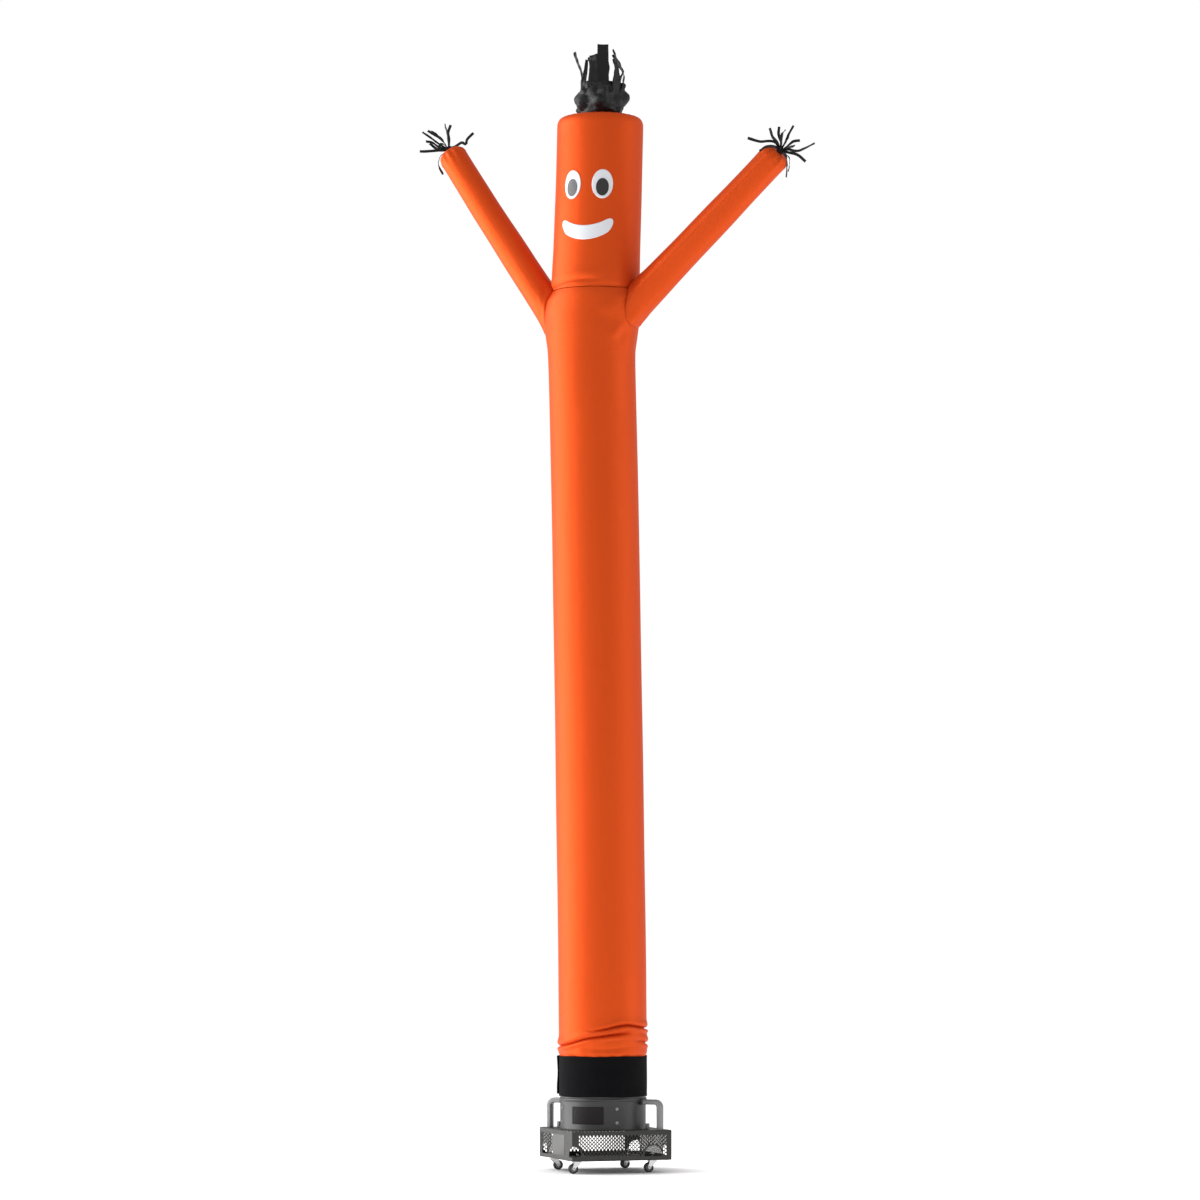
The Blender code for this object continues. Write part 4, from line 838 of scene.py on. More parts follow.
# %% The hair
HAIR = DUCT + Vector((-0.0090, 0.0, HEAD_TOP_Z + 0.0160))
HAIR_ROWS = ((0.000, 0.103), (0.030, 0.123), (0.075, 0.134), (0.130, 0.128), (0.176, 0.104))
HAIR_STRIPS = (
    ((0.008, -0.112, 0.10, 0.080, 0), (0.006, -0.092, 0.19, 0.068, 0), (0.008, -0.064, 0.29, 0.061, 4),
     (0.009, -0.045, 0.377, 0.058, 0)),
    ((-0.040, -0.104, 0.10, 0.076, 0), (-0.036, -0.084, 0.19, 0.066, 0), (-0.036, -0.058, 0.26, 0.058, -5),
     (-0.040, -0.043, 0.322, 0.048, -4)),
    ((-0.090, -0.062, 0.10, 0.052, 10), (-0.092, -0.056, 0.17, 0.036, 24), (-0.082, -0.050, 0.235, 0.022, 45),
     (-0.076, -0.045, 0.296, 0.014, 60)),
    ((-0.100, -0.020, 0.14, 0.026, 20), (-0.100, -0.010, 0.22, 0.020, 35), (-0.123, -0.008, 0.285, 0.018, 40),
     (-0.142, -0.006, 0.344, 0.017, 45)),
    ((-0.088, 0.045, 0.13, 0.024, 0), (-0.085, 0.032, 0.22, 0.020, 0), (-0.080, 0.034, 0.27, 0.016, 10),
     (-0.082, 0.040, 0.312, 0.014, 20)),
    ((-0.035, 0.096, 0.12, 0.050, 0), (-0.032, 0.078, 0.22, 0.046, 0), (-0.045, 0.070, 0.29, 0.040, 5),
     (-0.055, 0.085, 0.335, 0.036, 0)),
    ((0.030, 0.098, 0.12, 0.030, 0), (0.026, 0.082, 0.22, 0.024, 0), (0.035, 0.070, 0.275, 0.020, 20),
     (0.030, 0.085, 0.315, 0.018, 40)),
    ((0.088, 0.050, 0.12, 0.032, 0), (0.096, 0.036, 0.20, 0.028, 0), (0.112, 0.030, 0.245, 0.022, 15),
     (0.085, 0.028, 0.290, 0.018, 30), (0.060, 0.020, 0.335, 0.015, 40)),
    ((0.104, -0.020, 0.10, 0.062, 0), (0.112, -0.016, 0.175, 0.058, 0), (0.116, -0.016, 0.225, 0.046, 8),
     (0.098, -0.016, 0.268, 0.034, 15), (0.078, -0.017, 0.310, 0.024, 25), (0.062, -0.018, 0.356, 0.014, 40)),
    ((0.070, -0.088, 0.10, 0.064, 0), (0.080, -0.076, 0.18, 0.056, 0), (0.078, -0.066, 0.245, 0.040, 8),
     (0.062, -0.062, 0.296, 0.022, 16)),
)


def crumple(place, size, depth):
    """Stand out in cells and crease along their borders."""
    near = noise.voronoi(place / size)[0]
    return depth * (min(near[1] - near[0], 0.7) - 0.30)


def hair_shape(u, v):
    azimuth = pi + 2 * pi * u
    rise = v * HAIR_ROWS[-1][0]
    radius = smooth(HAIR_ROWS, rise)
    uneven = 0.12 * ease(rise / 0.05)
    radius *= 1 + uneven * (
        0.6 * sin(3 * azimuth + 0.7 + 9 * rise) + 0.5 * sin(5 * azimuth + 2.1 - 9 * rise)
    )
    point = Vector((radius * sin(azimuth), -radius * cos(azimuth), rise))
    strong = ease(rise / 0.03)
    radius += strong * crumple(point + Vector((0.3, 0.1, 0.0)), 0.072, 0.034)
    radius += strong * crumple(point + Vector((0.0, 0.7, 0.0)), 0.034, 0.005)
    return HAIR + Vector((radius * sin(azimuth), -radius * cos(azimuth), rise))


bm = bmesh.new()
SLEEVE_AROUND, SLEEVE_LONG = 2 * pi * 0.115, 0.178
hair_area = SLEEVE_AROUND * SLEEVE_LONG
lay_cloth(bm, SLEEVE_AROUND, SLEEVE_LONG, 72, 18, hair_shape, sewn=True)
for number, strip in enumerate(HAIR_STRIPS):
    middle = Vector((strip[1][0], strip[1][1], 0.0)).normalized()
    flat_side = Vector((-middle.y, middle.x, 0.0))
    route = [
        (place, *(HAIR + Vector(row[:3])), row[3], radians(row[4])) for place, row in enumerate(strip)
    ]
    hair_area += lay_ribbon(bm, route, flat_side, rows=20, dish=0.06, crinkle=0.004, seed=number * 3.1)
hair = piece(bm, "hair_streamers", black_cloth, "black_cloth", stands_for=["hair"], sharp=26, wall=0.0007)
print("hair", round(area_of(hair), 3), "m2; cut from", round(hair_area, 3))

# %% [markdown]
# ## The hands
#
# Each hand is a tuft of narrow strips that burst from the arm's drawn-in end. Their points are
# listed from how each strip lies: side, depth and height from the arm's tip.

# %% The hands
STRIP_WIDE = 0.0145
KNOT_AROUND, KNOT_LONG = 0.11, 0.034
HANDS = {
    "left": (
        ((-0.070, -0.006, 0.048), (-0.105, -0.012, 0.074), (-0.146, -0.016, 0.102)),
        ((-0.045, 0.018, 0.070), (-0.078, 0.030, 0.094), (-0.120, 0.040, 0.120)),
        ((-0.012, -0.012, 0.078), (-0.018, -0.018, 0.112), (-0.028, -0.022, 0.146)),
        ((-0.004, 0.026, 0.070), (-0.010, 0.034, 0.108), (0.004, 0.040, 0.152)),
        ((0.046, -0.012, 0.036), (0.066, -0.022, 0.046), (0.088, -0.026, 0.036), (0.094, -0.024, 0.062),
         (0.128, -0.022, 0.098)),
        ((-0.060, -0.034, 0.000), (-0.110, -0.042, -0.006), (-0.158, -0.046, -0.008)),
        ((-0.050, 0.040, 0.014), (-0.080, 0.056, 0.030), (-0.110, 0.066, 0.056)),
        ((-0.048, 0.000, -0.026), (-0.058, 0.002, -0.070), (-0.034, 0.000, -0.124)),
        ((0.010, 0.052, 0.030), (0.030, 0.078, 0.042), (0.050, 0.098, 0.030)),
        ((-0.030, -0.058, 0.028), (-0.046, -0.082, 0.024), (-0.052, -0.098, -0.006)),
        ((-0.058, -0.012, 0.022), (-0.092, -0.020, 0.044), (-0.126, -0.030, 0.050)),
        ((-0.040, -0.020, 0.052), (-0.066, -0.034, 0.082), (-0.100, -0.030, 0.104)),
    ),
    "right": (
        ((-0.022, -0.030, 0.044), (-0.058, -0.040, 0.050), (-0.104, -0.044, 0.046), (-0.166, -0.046, 0.064)),
        ((-0.030, -0.056, 0.018), (-0.070, -0.072, 0.014), (-0.108, -0.078, -0.008)),
        ((-0.012, 0.000, 0.052), (-0.036, 0.004, 0.082), (-0.048, 0.006, 0.126)),
        ((0.010, 0.022, 0.056), (-0.002, 0.030, 0.094), (0.000, 0.034, 0.138)),
        ((0.036, -0.008, 0.058), (0.050, -0.012, 0.092), (0.074, -0.016, 0.134)),
        ((0.046, 0.030, 0.026), (0.066, 0.044, 0.034), (0.084, 0.056, 0.042)),
        ((0.048, -0.014, 0.010), (0.078, -0.022, 0.000), (0.112, -0.026, 0.004), (0.182, -0.030, 0.038)),
        ((0.050, -0.042, -0.012), (0.092, -0.052, -0.026), (0.132, -0.058, -0.062)),
        ((0.028, -0.058, -0.020), (0.034, -0.068, -0.066), (0.030, -0.072, -0.146)),
        ((0.050, 0.004, -0.030), (0.050, 0.006, -0.066), (0.044, 0.006, -0.102)),
        ((0.020, 0.056, 0.004), (0.034, 0.078, -0.018), (0.040, 0.090, -0.060)),
        ((0.042, -0.030, 0.030), (0.070, -0.044, 0.046), (0.104, -0.050, 0.050)),
        ((0.006, -0.040, 0.046), (0.010, -0.056, 0.078), (0.030, -0.060, 0.104)),
    ),
}


def make_hand(side):
    root, length, along, level, lift = arm_lines[side]
    tip = root + along * length
    bm = bmesh.new()

    def knot(u, v):
        turn = 2 * pi * u
        out = level * cos(turn) + lift * sin(turn)
        radius = 0.0165 + 0.004 * sin(7 * turn) * v + 0.005 * v * v
        return tip + along * (0.034 * v - 0.010) + out * radius

    lay_cloth(bm, KNOT_AROUND, KNOT_LONG, 42, 8, knot, sewn=True)
    area = KNOT_AROUND * KNOT_LONG
    for number, strip in enumerate(HANDS[side]):
        first = Vector(strip[0])
        start = along * 0.008 + first.normalized() * 0.010
        twist = radians(75) if strip[-1][2] < -0.09 else radians(14 * sin(2.3 * number))
        points = [tip + start, *(tip + Vector(point) for point in strip)]
        route = [
            (k, *point, STRIP_WIDE * (0.75 if k == 0 else 1.0), twist) for k, point in enumerate(points)
        ]
        area += lay_ribbon(bm, route, along, rows=14, dish=0.16, crinkle=0.002, seed=number * 1.7)
    made = piece(
        bm, f"hand_streamers_{side}", black_cloth, "black_cloth", stands_for=[f"hand_{side}"],
        sharp=60, wall=0.0007,
    )
    print("hand", side, len(HANDS[side]), "strips", round(area_of(made), 4), "m2 of", round(area, 4))


for side in HANDS:
    make_hand(side)

# %% [markdown]
# ## The cuff
#
# A wide hook-and-loop band straps the cloth to the duct. It is one strip laid as a spiral, so
# its free end laps over its start on the left. The pile is dull and drinks the light; the hard
# edge binding is a little smoother and stands out as a rib.

# %% The cuff
CUFF_LOW, CUFF_HIGH, CUFF_R = 0.387, 0.595, 0.2284
BAND = 0.0020
CUFF_START, CUFF_LAP, CUFF_CLIMB = radians(-128.0), radians(42.0), radians(24.0)
CUFF_LONG = (2 * pi + CUFF_LAP) * CUFF_R
CUFF_TALL = CUFF_HIGH - CUFF_LOW


def pile_look():
    made, tree, shader = new_look("hook_and_loop_pile", 0.95)
    place = flat_place(tree)
    loops = add(tree, "ShaderNodeTexNoise", {"Vector": place, "Scale": 900.0, "Detail": 3.0})
    clouds = use(tree, unevenness, Place=place, Size=0.05)["Value"]
    colour = blend_colours(tree, clouds, (0.0030, 0.0030, 0.0036, 1.0), (0.0052, 0.0052, 0.0060, 1.0))
    tree.links.new(colour, shader.inputs["Base Color"])
    shader.inputs["Sheen Weight"].default_value = 0.02
    shader.inputs["Sheen Roughness"].default_value = 0.6
    shader.inputs["Specular IOR Level"].default_value = 0.04
    flat = add(tree, "ShaderNodeSeparateXYZ", {0: place}).outputs
    height = calc(tree, "MULTIPLY", loops.outputs["Fac"], 0.5)
    for where in (0.008, CUFF_TALL - 0.008):
        mask = use(tree, stitch_row, Across=flat["Y"], Along=flat["X"], Place=where)["Mask"]
        height = calc(tree, "MULTIPLY_ADD", mask, 0.6, height)
    raise_by(tree, shader, height, 0.0012)
    return made


def cuff_shape(u, v):
    turn = u * (2 * pi + CUFF_LAP)
    climb = ease((turn - 2 * pi + CUFF_CLIMB) / CUFF_CLIMB)
    free = ease((u - 0.955) / 0.045)
    radius = CUFF_R + (BAND + 0.0014) * climb + 0.0060 * free
    binding = 0.0009 * (bump_at(v, 0.025, 0.018) + bump_at(v, 0.975, 0.018))
    dent = 0.0014 * noise.noise(Vector((sin(turn) * 2.2, cos(turn) * 2.2, v * 1.6)))
    bend = 0.0022 * sin(2 * pi * v * 1.1 + 0.6) * free
    low = CUFF_LOW + 0.010 * ease((u - 0.93) / 0.02)
    z = low + (CUFF_HIGH - low) * v + 0.0012 * sin(5 * turn + 0.4) * (2 * v - 1)
    return polar(CUFF_START + turn, radius + binding + dent + bend, z)


bm = bmesh.new()
lay_cloth(bm, CUFF_LONG, CUFF_TALL, 190, 28, cuff_shape)
cuff = piece(bm, "cuff_band", pile_look(), "black_band", stands_for=["cuff"], wall=BAND)
print("cuff", round(area_of(cuff), 3), "m2 of", round(CUFF_LONG * CUFF_TALL, 3))


# %% [markdown]
# ## Metal finishes
#
# The blower is sheet steel under a dark satin powder coat. The handles are a lighter grey, and
# bolts, forks and nuts are plated. Fine peel, dust near the floor and a few scuffs keep the
# paint from looking like plastic.

# %% Metal, rubber and film finishes
def paint_look(name, colour, roughness, metallic):
    made, tree, shader = new_look(name, roughness, metallic)
    place = object_place(tree)
    coat = use(tree, powder, Place=place)
    clouds = use(tree, unevenness, Place=place, Size=0.12)["Value"]
    lighter = tuple(min(c * 1.25 + 0.004, 1.0) for c in colour)
    tint = blend_colours(tree, clouds, (*colour, 1.0), (*lighter, 1.0))
    tint = blend_colours(tree, calc(tree, "MULTIPLY", coat["Scuff"], 0.5), tint, (0.16, 0.16, 0.16, 1.0))
    tint = blend_colours(tree, calc(tree, "MULTIPLY", coat["Dust"], 0.20), tint, (0.20, 0.185, 0.165, 1.0))
    tree.links.new(tint, shader.inputs["Base Color"])
    rough = calc(tree, "MULTIPLY_ADD", coat["Dust"], 0.25, roughness)
    tree.links.new(calc(tree, "MULTIPLY_ADD", clouds, 0.08, rough), shader.inputs["Roughness"])
    raise_by(tree, shader, coat["Height"], 0.00012)
    return made


def plated_look(name, colour, roughness):
    made, tree, shader = new_look(name, roughness, 1.0)
    place = object_place(tree)
    clouds = use(tree, unevenness, Place=place, Size=0.012)["Value"]
    dull = tuple(0.72 * c for c in colour)
    tree.links.new(blend_colours(tree, clouds, (*dull, 1.0), (*colour, 1.0)), shader.inputs["Base Color"])
    tree.links.new(calc(tree, "MULTIPLY_ADD", clouds, 0.16, roughness - 0.05), shader.inputs["Roughness"])
    brushed = add(tree, "ShaderNodeMapping", {0: place, "Scale": (900.0, 900.0, 120.0)})
    grain = add(tree, "ShaderNodeTexNoise", {"Vector": brushed.outputs[0], "Scale": 1.0, "Detail": 2.0})
    raise_by(tree, shader, grain.outputs["Fac"], 0.00003)
    return made


def moulded_look(name, colour, roughness):
    made, tree, shader = new_look(name, roughness)
    place = object_place(tree)
    clouds = use(tree, unevenness, Place=place, Size=0.01)["Value"]
    coat = use(tree, powder, Place=place, Grain=0.0008, Dust_height=0.08)
    worn = tuple(min(2.6 * c + 0.01, 1.0) for c in colour)
    tint = blend_colours(tree, clouds, (*colour, 1.0), (*(1.5 * c for c in colour), 1.0))
    tint = blend_colours(tree, calc(tree, "MULTIPLY", coat["Dust"], 0.35), tint, (*worn, 1.0))
    tree.links.new(tint, shader.inputs["Base Color"])
    tree.links.new(calc(tree, "MULTIPLY_ADD", clouds, 0.2, roughness - 0.1), shader.inputs["Roughness"])
    raise_by(tree, shader, coat["Height"], 0.0001)
    return made


dark_paint = paint_look("dark_powder_coat", (0.027, 0.027, 0.026), 0.40, 0.40)
duct_paint = paint_look("duct_powder_coat", (0.043, 0.043, 0.044), 0.36, 0.60)
grey_paint = paint_look("grey_powder_coat", (0.205, 0.205, 0.207), 0.42, 0.45)
bright_plate = plated_look("bright_plating", (0.74, 0.74, 0.76), 0.20)
dull_plate = plated_look("dull_plating", (0.34, 0.34, 0.35), 0.34)
tyre_rubber = moulded_look("tyre_rubber", (0.014, 0.014, 0.014), 0.62)
hub_plastic = moulded_look("hub_plastic", (0.135, 0.135, 0.138), 0.48)
label_film = cloth_look("label_film", (0.0150, 0.0125, 0.0130), (0.0120, 0.0100, 0.0105), 0.34, shine=0.12)
cover_paint = paint_look("cover_powder_coat", (0.088, 0.088, 0.089), 0.46, 0.30)
print("hard finishes ready")


# %% [markdown]
# ## Turned pieces
#
# The duct, bolts, nuts, wheels and axles are all turned: an outline of (radius, height) pairs
# is spun round an axis. A closed outline makes a ring, an open one starts and ends on the axis.

# %% Helpers for turned pieces
def turn_piece(bm, outline, sides, place=Matrix.Identity(4), ring=False):
    verts = [bm.verts.new((radius, 0.0, height)) for radius, height in outline]
    pairs = list(zip(verts, verts[1:])) + ([(verts[-1], verts[0])] if ring else [])
    edges = [bm.edges.new(pair) for pair in pairs]
    bmesh.ops.spin(
        bm, geom=verts + edges, cent=(0, 0, 0), axis=(0, 0, 1), dvec=(0, 0, 0),
        angle=2 * pi, steps=sides, use_merge=True,
    )
    new = {v for v in bm.verts if v.is_valid and v.link_edges and not v.tag}
    bmesh.ops.remove_doubles(bm, verts=list(new), dist=1e-6)
    fresh = [v for v in bm.verts if not v.tag]
    faces = list({f for v in fresh for f in v.link_faces})
    bmesh.ops.recalc_face_normals(bm, faces=faces)
    bmesh.ops.transform(bm, matrix=place, verts=fresh)
    for v in fresh:
        v.tag = True


def outward(azimuth, radius, z):
    """A place on the duct whose own +Z points out of it."""
    return Matrix.Translation(polar(azimuth, radius, z)) @ Matrix.Rotation(azimuth, 4, "Z") @ (
        Matrix.Rotation(pi / 2, 4, "X")
    )


# %% [markdown]
# ## The duct
#
# The fan's round housing is rolled sheet. A rolled bead under the cuff keeps it round and gives
# the strap something to sit on; the neck above it goes up inside the cuff.

# %% The duct shell, its bolts and the bare label
DECK_TOP, DUCT_R, DUCT_WALL = 0.219, 0.222, 0.003
RIM_LOW, RIM_HIGH, NECK_TOP = 0.363, 0.381, 0.440
BEAD = 0.0048
inner = DUCT_R - DUCT_WALL
bead = [
    (DUCT_R + BEAD * sin(pi * k / 10), RIM_LOW + (RIM_HIGH - RIM_LOW) * k / 10) for k in range(11)
]
duct_outline = [
    (inner, DECK_TOP + 0.0004), (DUCT_R + 0.004, DECK_TOP + 0.0004), (DUCT_R + 0.004, DECK_TOP + 0.0025),
    (DUCT_R + 0.0012, DECK_TOP + 0.0040), (DUCT_R, DECK_TOP + 0.0070), (DUCT_R, RIM_LOW - 0.002),
    *bead, (DUCT_R, RIM_HIGH + 0.002), (DUCT_R, NECK_TOP), (inner, NECK_TOP),
]
bm = bmesh.new()
turn_piece(bm, duct_outline, 144, Matrix.Translation(DUCT), ring=True)
duct = piece(bm, "duct_shell", duct_paint, "dark_steel", stands_for=["duct"])

bolt_outline = [(0.0, 0.0005), (0.0078, 0.0005), (0.0078, 0.0014), (0.0060, 0.0014), (0.0059, 0.0028),
                (0.0046, 0.0042), (0.0030, 0.0047), (0.0028, 0.0032), (0.0, 0.0032)]
number = 0
for quarter in range(4):
    for z in (0.256, 0.327):
        number += 1
        bm = bmesh.new()
        turn_piece(bm, bolt_outline, 24, outward(BASE_TURN + quarter * pi / 2, DUCT_R - 0.0005, z))
        piece(bm, f"duct_bolt_head_{number}", dull_plate, "chrome", stands_for=[f"duct_bolt_{number}"])

LABEL = {"start": radians(-45.5), "end": radians(0.9), "low": 0.249, "high": 0.339}


def label_shape(u, v):
    x, y = 2 * u - 1, 2 * v - 1
    corner = 0.985 + 0.015 * (1.0 - (abs(x) * abs(y)) ** 14)
    turn = (LABEL["start"] + LABEL["end"]) / 2 + x * corner * (LABEL["end"] - LABEL["start"]) / 2
    z = (LABEL["low"] + LABEL["high"]) / 2 + y * corner * (LABEL["high"] - LABEL["low"]) / 2
    edge = 1.0 - max(abs(x), abs(y))
    return polar(turn, DUCT_R + 0.0012 + 0.0005 * bump_at(edge, 0.04, 0.03), z)


bm = bmesh.new()
lay_cloth(bm, 0.180, 0.090, 60, 32, label_shape)
label = piece(bm, "bare_label", label_film, "label_film", stands_for=["label_plate"], wall=0.0009)
print("duct, bolts and bare label done")

# %% [markdown]
# ## The punched steel base
#
# The four walls are one folded sheet: a rounded square with an inward lip below. Its punched
# holes, half-round windows and corner cut-outs come out with two Boolean cuts, one for the
# front and back walls and one for the sides, so that no two cutters touch.

# %% The walls
HALF, SHEET = 0.26875, 0.002
BASE_BOTTOM = 0.067
CORNER_R, LIP = 0.005, 0.020
WINDOW_LOW, WINDOW_R, WINDOW_STRAIGHT = 0.087, 0.048, 0.007
PITCH, ROW_STEP = 0.0195, 0.0095
HOLE_WIDE, HOLE_TALL, HOLE_SIDES = 0.0096, 0.0146, 10
ZONE_LOW, ZONE_HIGH = 0.088, 0.199
WALLS = (
    {"quarter": 0, "zone": (-0.236, 0.250), "window": 0.170, "corner": -1},
    {"quarter": 1, "zone": (-0.250, 0.236), "window": -0.175, "corner": 1},
    {"quarter": 2, "zone": (-0.200, 0.250), "window": 0.170, "corner": -1},
    {"quarter": 3, "zone": (-0.250, -0.062), "window": -0.175, "corner": 1},
)


def rounded_square(bm, half, corner, z, steps=5):
    """A flat square face with round corners."""
    square = bmesh.ops.create_circle(
        bm, radius=half * sqrt(2), segments=4, cap_ends=True,
        matrix=Matrix.Translation((0, 0, z)) @ Matrix.Rotation(pi / 4, 4, "Z"),
    )["verts"]
    bmesh.ops.bevel(
        bm, geom=square, offset=corner, segments=steps, profile=0.5, affect="VERTICES", material=-1,
    )


def punch(bm, middle, z, turn, outline):
    """Push an outline of (side, height) corners through a wall."""
    face = bm.faces.new([bm.verts.new((middle + side, -HALF - 0.008, z + up)) for side, up in outline])
    geom = bmesh.ops.extrude_face_region(bm, geom=[face])["geom"]
    far = [v for v in geom if isinstance(v, bmesh.types.BMVert)]
    bmesh.ops.translate(bm, verts=far, vec=(0.0, 0.018, 0.0))
    bmesh.ops.rotate(bm, verts=far + list(face.verts), matrix=Matrix.Rotation(turn, 3, "Z"))


hole_outline = [
    (HOLE_WIDE / 2 * cos(2 * pi * k / HOLE_SIDES), HOLE_TALL / 2 * sin(2 * pi * k / HOLE_SIDES))
    for k in range(HOLE_SIDES)
]
window_outline = [(WINDOW_R, 0.0)] + [
    (WINDOW_R * cos(pi * k / 24), WINDOW_STRAIGHT + WINDOW_R * sin(pi * k / 24)) for k in range(25)
] + [(-WINDOW_R, 0.0)]


def wall_cutter(walls):
    """One object with all the holes of some walls, and how many round holes it has."""
    bm = bmesh.new()
    holes = 0
    for wall in walls:
        turn = wall["quarter"] * pi / 2
        windows = (wall["window"], wall["corner"] * HALF)
        for middle in windows:
            punch(bm, middle, WINDOW_LOW, turn, window_outline)
        low, high = wall["zone"]
        rows = int((ZONE_HIGH - ZONE_LOW - HOLE_TALL) / ROW_STEP) + 1
        for row in range(rows):
            z = ZONE_LOW + HOLE_TALL / 2 + row * ROW_STEP
            side = low + HOLE_WIDE / 2 + (row % 2) * PITCH / 2
            while side <= high - HOLE_WIDE / 2:
                above = max(z - WINDOW_LOW - WINDOW_STRAIGHT, 0.0)
                clear = min(hypot(side - middle, above) for middle in windows)
                if clear > WINDOW_R + HOLE_TALL / 2 + 0.002:
                    punch(bm, side, z, turn, hole_outline)
                    holes += 1
                side += PITCH
    bmesh.ops.recalc_face_normals(bm, faces=bm.faces)
    bmesh.ops.transform(bm, matrix=BASE, verts=bm.verts)
    mesh = bpy.data.meshes.new("wall_cutter")
    bm.to_mesh(mesh)
    bm.free()
    cutter = bpy.data.objects.new("wall_cutter", mesh)
    bpy.context.scene.collection.objects.link(cutter)
    return cutter, holes


def cut_through(thing, cutters):
    """Apply the thing's modifiers and Boolean cuts, and take the cutters away."""
    for cutter in cutters:
        change = thing.modifiers.new("cut", "BOOLEAN")
        change.operation = "DIFFERENCE"
        change.object = cutter
    deps = bpy.context.evaluated_depsgraph_get()
    made = bpy.data.meshes.new_from_object(thing.evaluated_get(deps))
    thing.modifiers.clear()
    thing.data = made
    for cutter in cutters:
        bpy.data.objects.remove(cutter, do_unlink=True)


bm = bmesh.new()
rounded_square(bm, HALF, CORNER_R, BASE_BOTTOM)
bmesh.ops.inset_region(bm, faces=bm.faces[:], thickness=LIP, use_boundary=True)
inside = [f for f in bm.faces if all(max(abs(v.co.x), abs(v.co.y)) < HALF - LIP / 2 for v in f.verts)]
bmesh.ops.delete(bm, geom=inside, context="FACES")
outer = [
    edge for edge in bm.edges
    if edge.is_boundary and all(max(abs(v.co.x), abs(v.co.y)) > HALF - LIP / 2 for v in edge.verts)
]
bend = bmesh.ops.extrude_edge_only(bm, edges=outer)["geom"]
risen = [v for v in bend if isinstance(v, bmesh.types.BMVert)]
bmesh.ops.translate(bm, verts=risen, vec=(0, 0, DECK_TOP - SHEET - 0.0004 - BASE_BOTTOM))
bmesh.ops.bevel(
    bm, geom=outer, offset=0.0028, segments=3, profile=0.5, affect="EDGES", material=-1,
)
bmesh.ops.recalc_face_normals(bm, faces=bm.faces)
low_face = min(bm.faces, key=lambda f: f.calc_center_median().z)
if low_face.normal.z > 0:
    bmesh.ops.reverse_faces(bm, faces=bm.faces)
bmesh.ops.transform(bm, matrix=BASE, verts=bm.verts)
walls = piece(
    bm, "punched_walls", dark_paint, "dark_steel",
    stands_for=["wall_front", "wall_right", "wall_back", "wall_left"], sharp=35, wall=SHEET,
)
cutter_a, holes_a = wall_cutter([WALLS[0], WALLS[2]])
cutter_b, holes_b = wall_cutter([WALLS[1], WALLS[3]])
cut_through(walls, [cutter_a, cutter_b])
walls.data.materials.clear()
walls.data.materials.append(dark_paint)
walls.data.set_sharp_from_angle(angle=radians(35))
print("walls:", holes_a + holes_b, "punched holes,", len(walls.data.polygons), "faces")

# %% [markdown]
# ## The deck, cover plate and corner plates
#
# The deck is a rounded square with a round hole, bridged between its two edges. Small steel
# pieces share one helper: a box whose edges are bevelled, because a sharp edge never catches
# light as folded sheet does.

# %% Deck and small plates
bm = bmesh.new()
rounded_square(bm, HALF, CORNER_R, DECK_TOP)
bmesh.ops.delete(bm, geom=bm.faces[:], context="FACES_ONLY")
hole_middle = BASE.inverted() @ DUCT
bmesh.ops.create_circle(
    bm, radius=0.214, segments=96, matrix=Matrix.Translation((hole_middle.x, hole_middle.y, DECK_TOP)),
)
bmesh.ops.bridge_loops(bm, edges=bm.edges[:])
bmesh.ops.recalc_face_normals(bm, faces=bm.faces)
if bm.faces[:][0].normal.z < 0:
    bmesh.ops.reverse_faces(bm, faces=bm.faces)
bmesh.ops.transform(bm, matrix=BASE, verts=bm.verts)
deck = piece(bm, "deck_plate", dark_paint, "dark_steel", stands_for=["deck"], wall=SHEET)
rounding = deck.modifiers.new("rounded edge", "BEVEL")
rounding.width, rounding.segments, rounding.limit_method = 0.0006, 2, "ANGLE"


def soft_box(bm, low, high, edge, segments=2):
    low, high = Vector(low), Vector(high)
    size = Matrix.Diagonal((*(high - low), 1.0))
    made = bmesh.ops.create_cube(bm, size=1.0, matrix=Matrix.Translation((low + high) / 2) @ size)
    edges = list({e for v in made["verts"] for e in v.link_edges})
    bmesh.ops.bevel(
        bm, geom=edges, offset=edge, segments=segments, profile=0.5, affect="EDGES", material=-1,
    )


def coat_node(name, look):
    """Give a CAD node that stays in sight its finish."""
    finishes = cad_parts[name].data.materials
    finishes.clear()
    finishes.append(look)


def quarter_place(quarter):
    return BASE @ Matrix.Rotation(quarter * pi / 2, 4, "Z")


outside = HALF + 0.0004
bm = bmesh.new()
soft_box(bm, (-0.052, -outside - 0.003, 0.0915), (0.149, -outside, 0.196), 0.0011)
bmesh.ops.transform(bm, matrix=quarter_place(3), verts=bm.verts)
piece(bm, "cover_panel", cover_paint, "grey_steel", stands_for=["cover_plate"], sharp=30)
screw_outline = [(0.0, 0.0), (0.0054, 0.0), (0.0053, 0.0010), (0.0038, 0.0024), (0.0016, 0.0029),
                 (0.0015, 0.0018), (0.0, 0.0018)]
for number, z in enumerate((0.1000, 0.1875), 1):
    bm = bmesh.new()
    place = quarter_place(3) @ Matrix.Translation((-0.044, -outside - 0.003, z)) @ (
        Matrix.Rotation(pi / 2, 4, "X")
    )
    turn_piece(bm, screw_outline, 20, place)
    piece(bm, f"cover_screw_head_{number}", bright_plate, "chrome", stands_for=[f"cover_screw_{number}"])

for name in ("front_left", "front_right", "back_right", "back_left"):
    coat_node(f"gusset_{name}", dark_paint)
print("deck, cover and plates done")

# %% [markdown]
# ## The handles
#
# Two flat-oval bars run out from brackets on the duct's rim, round a bend and down to the deck.
# A ring of the bar's section is drawn along the route, ring by ring.

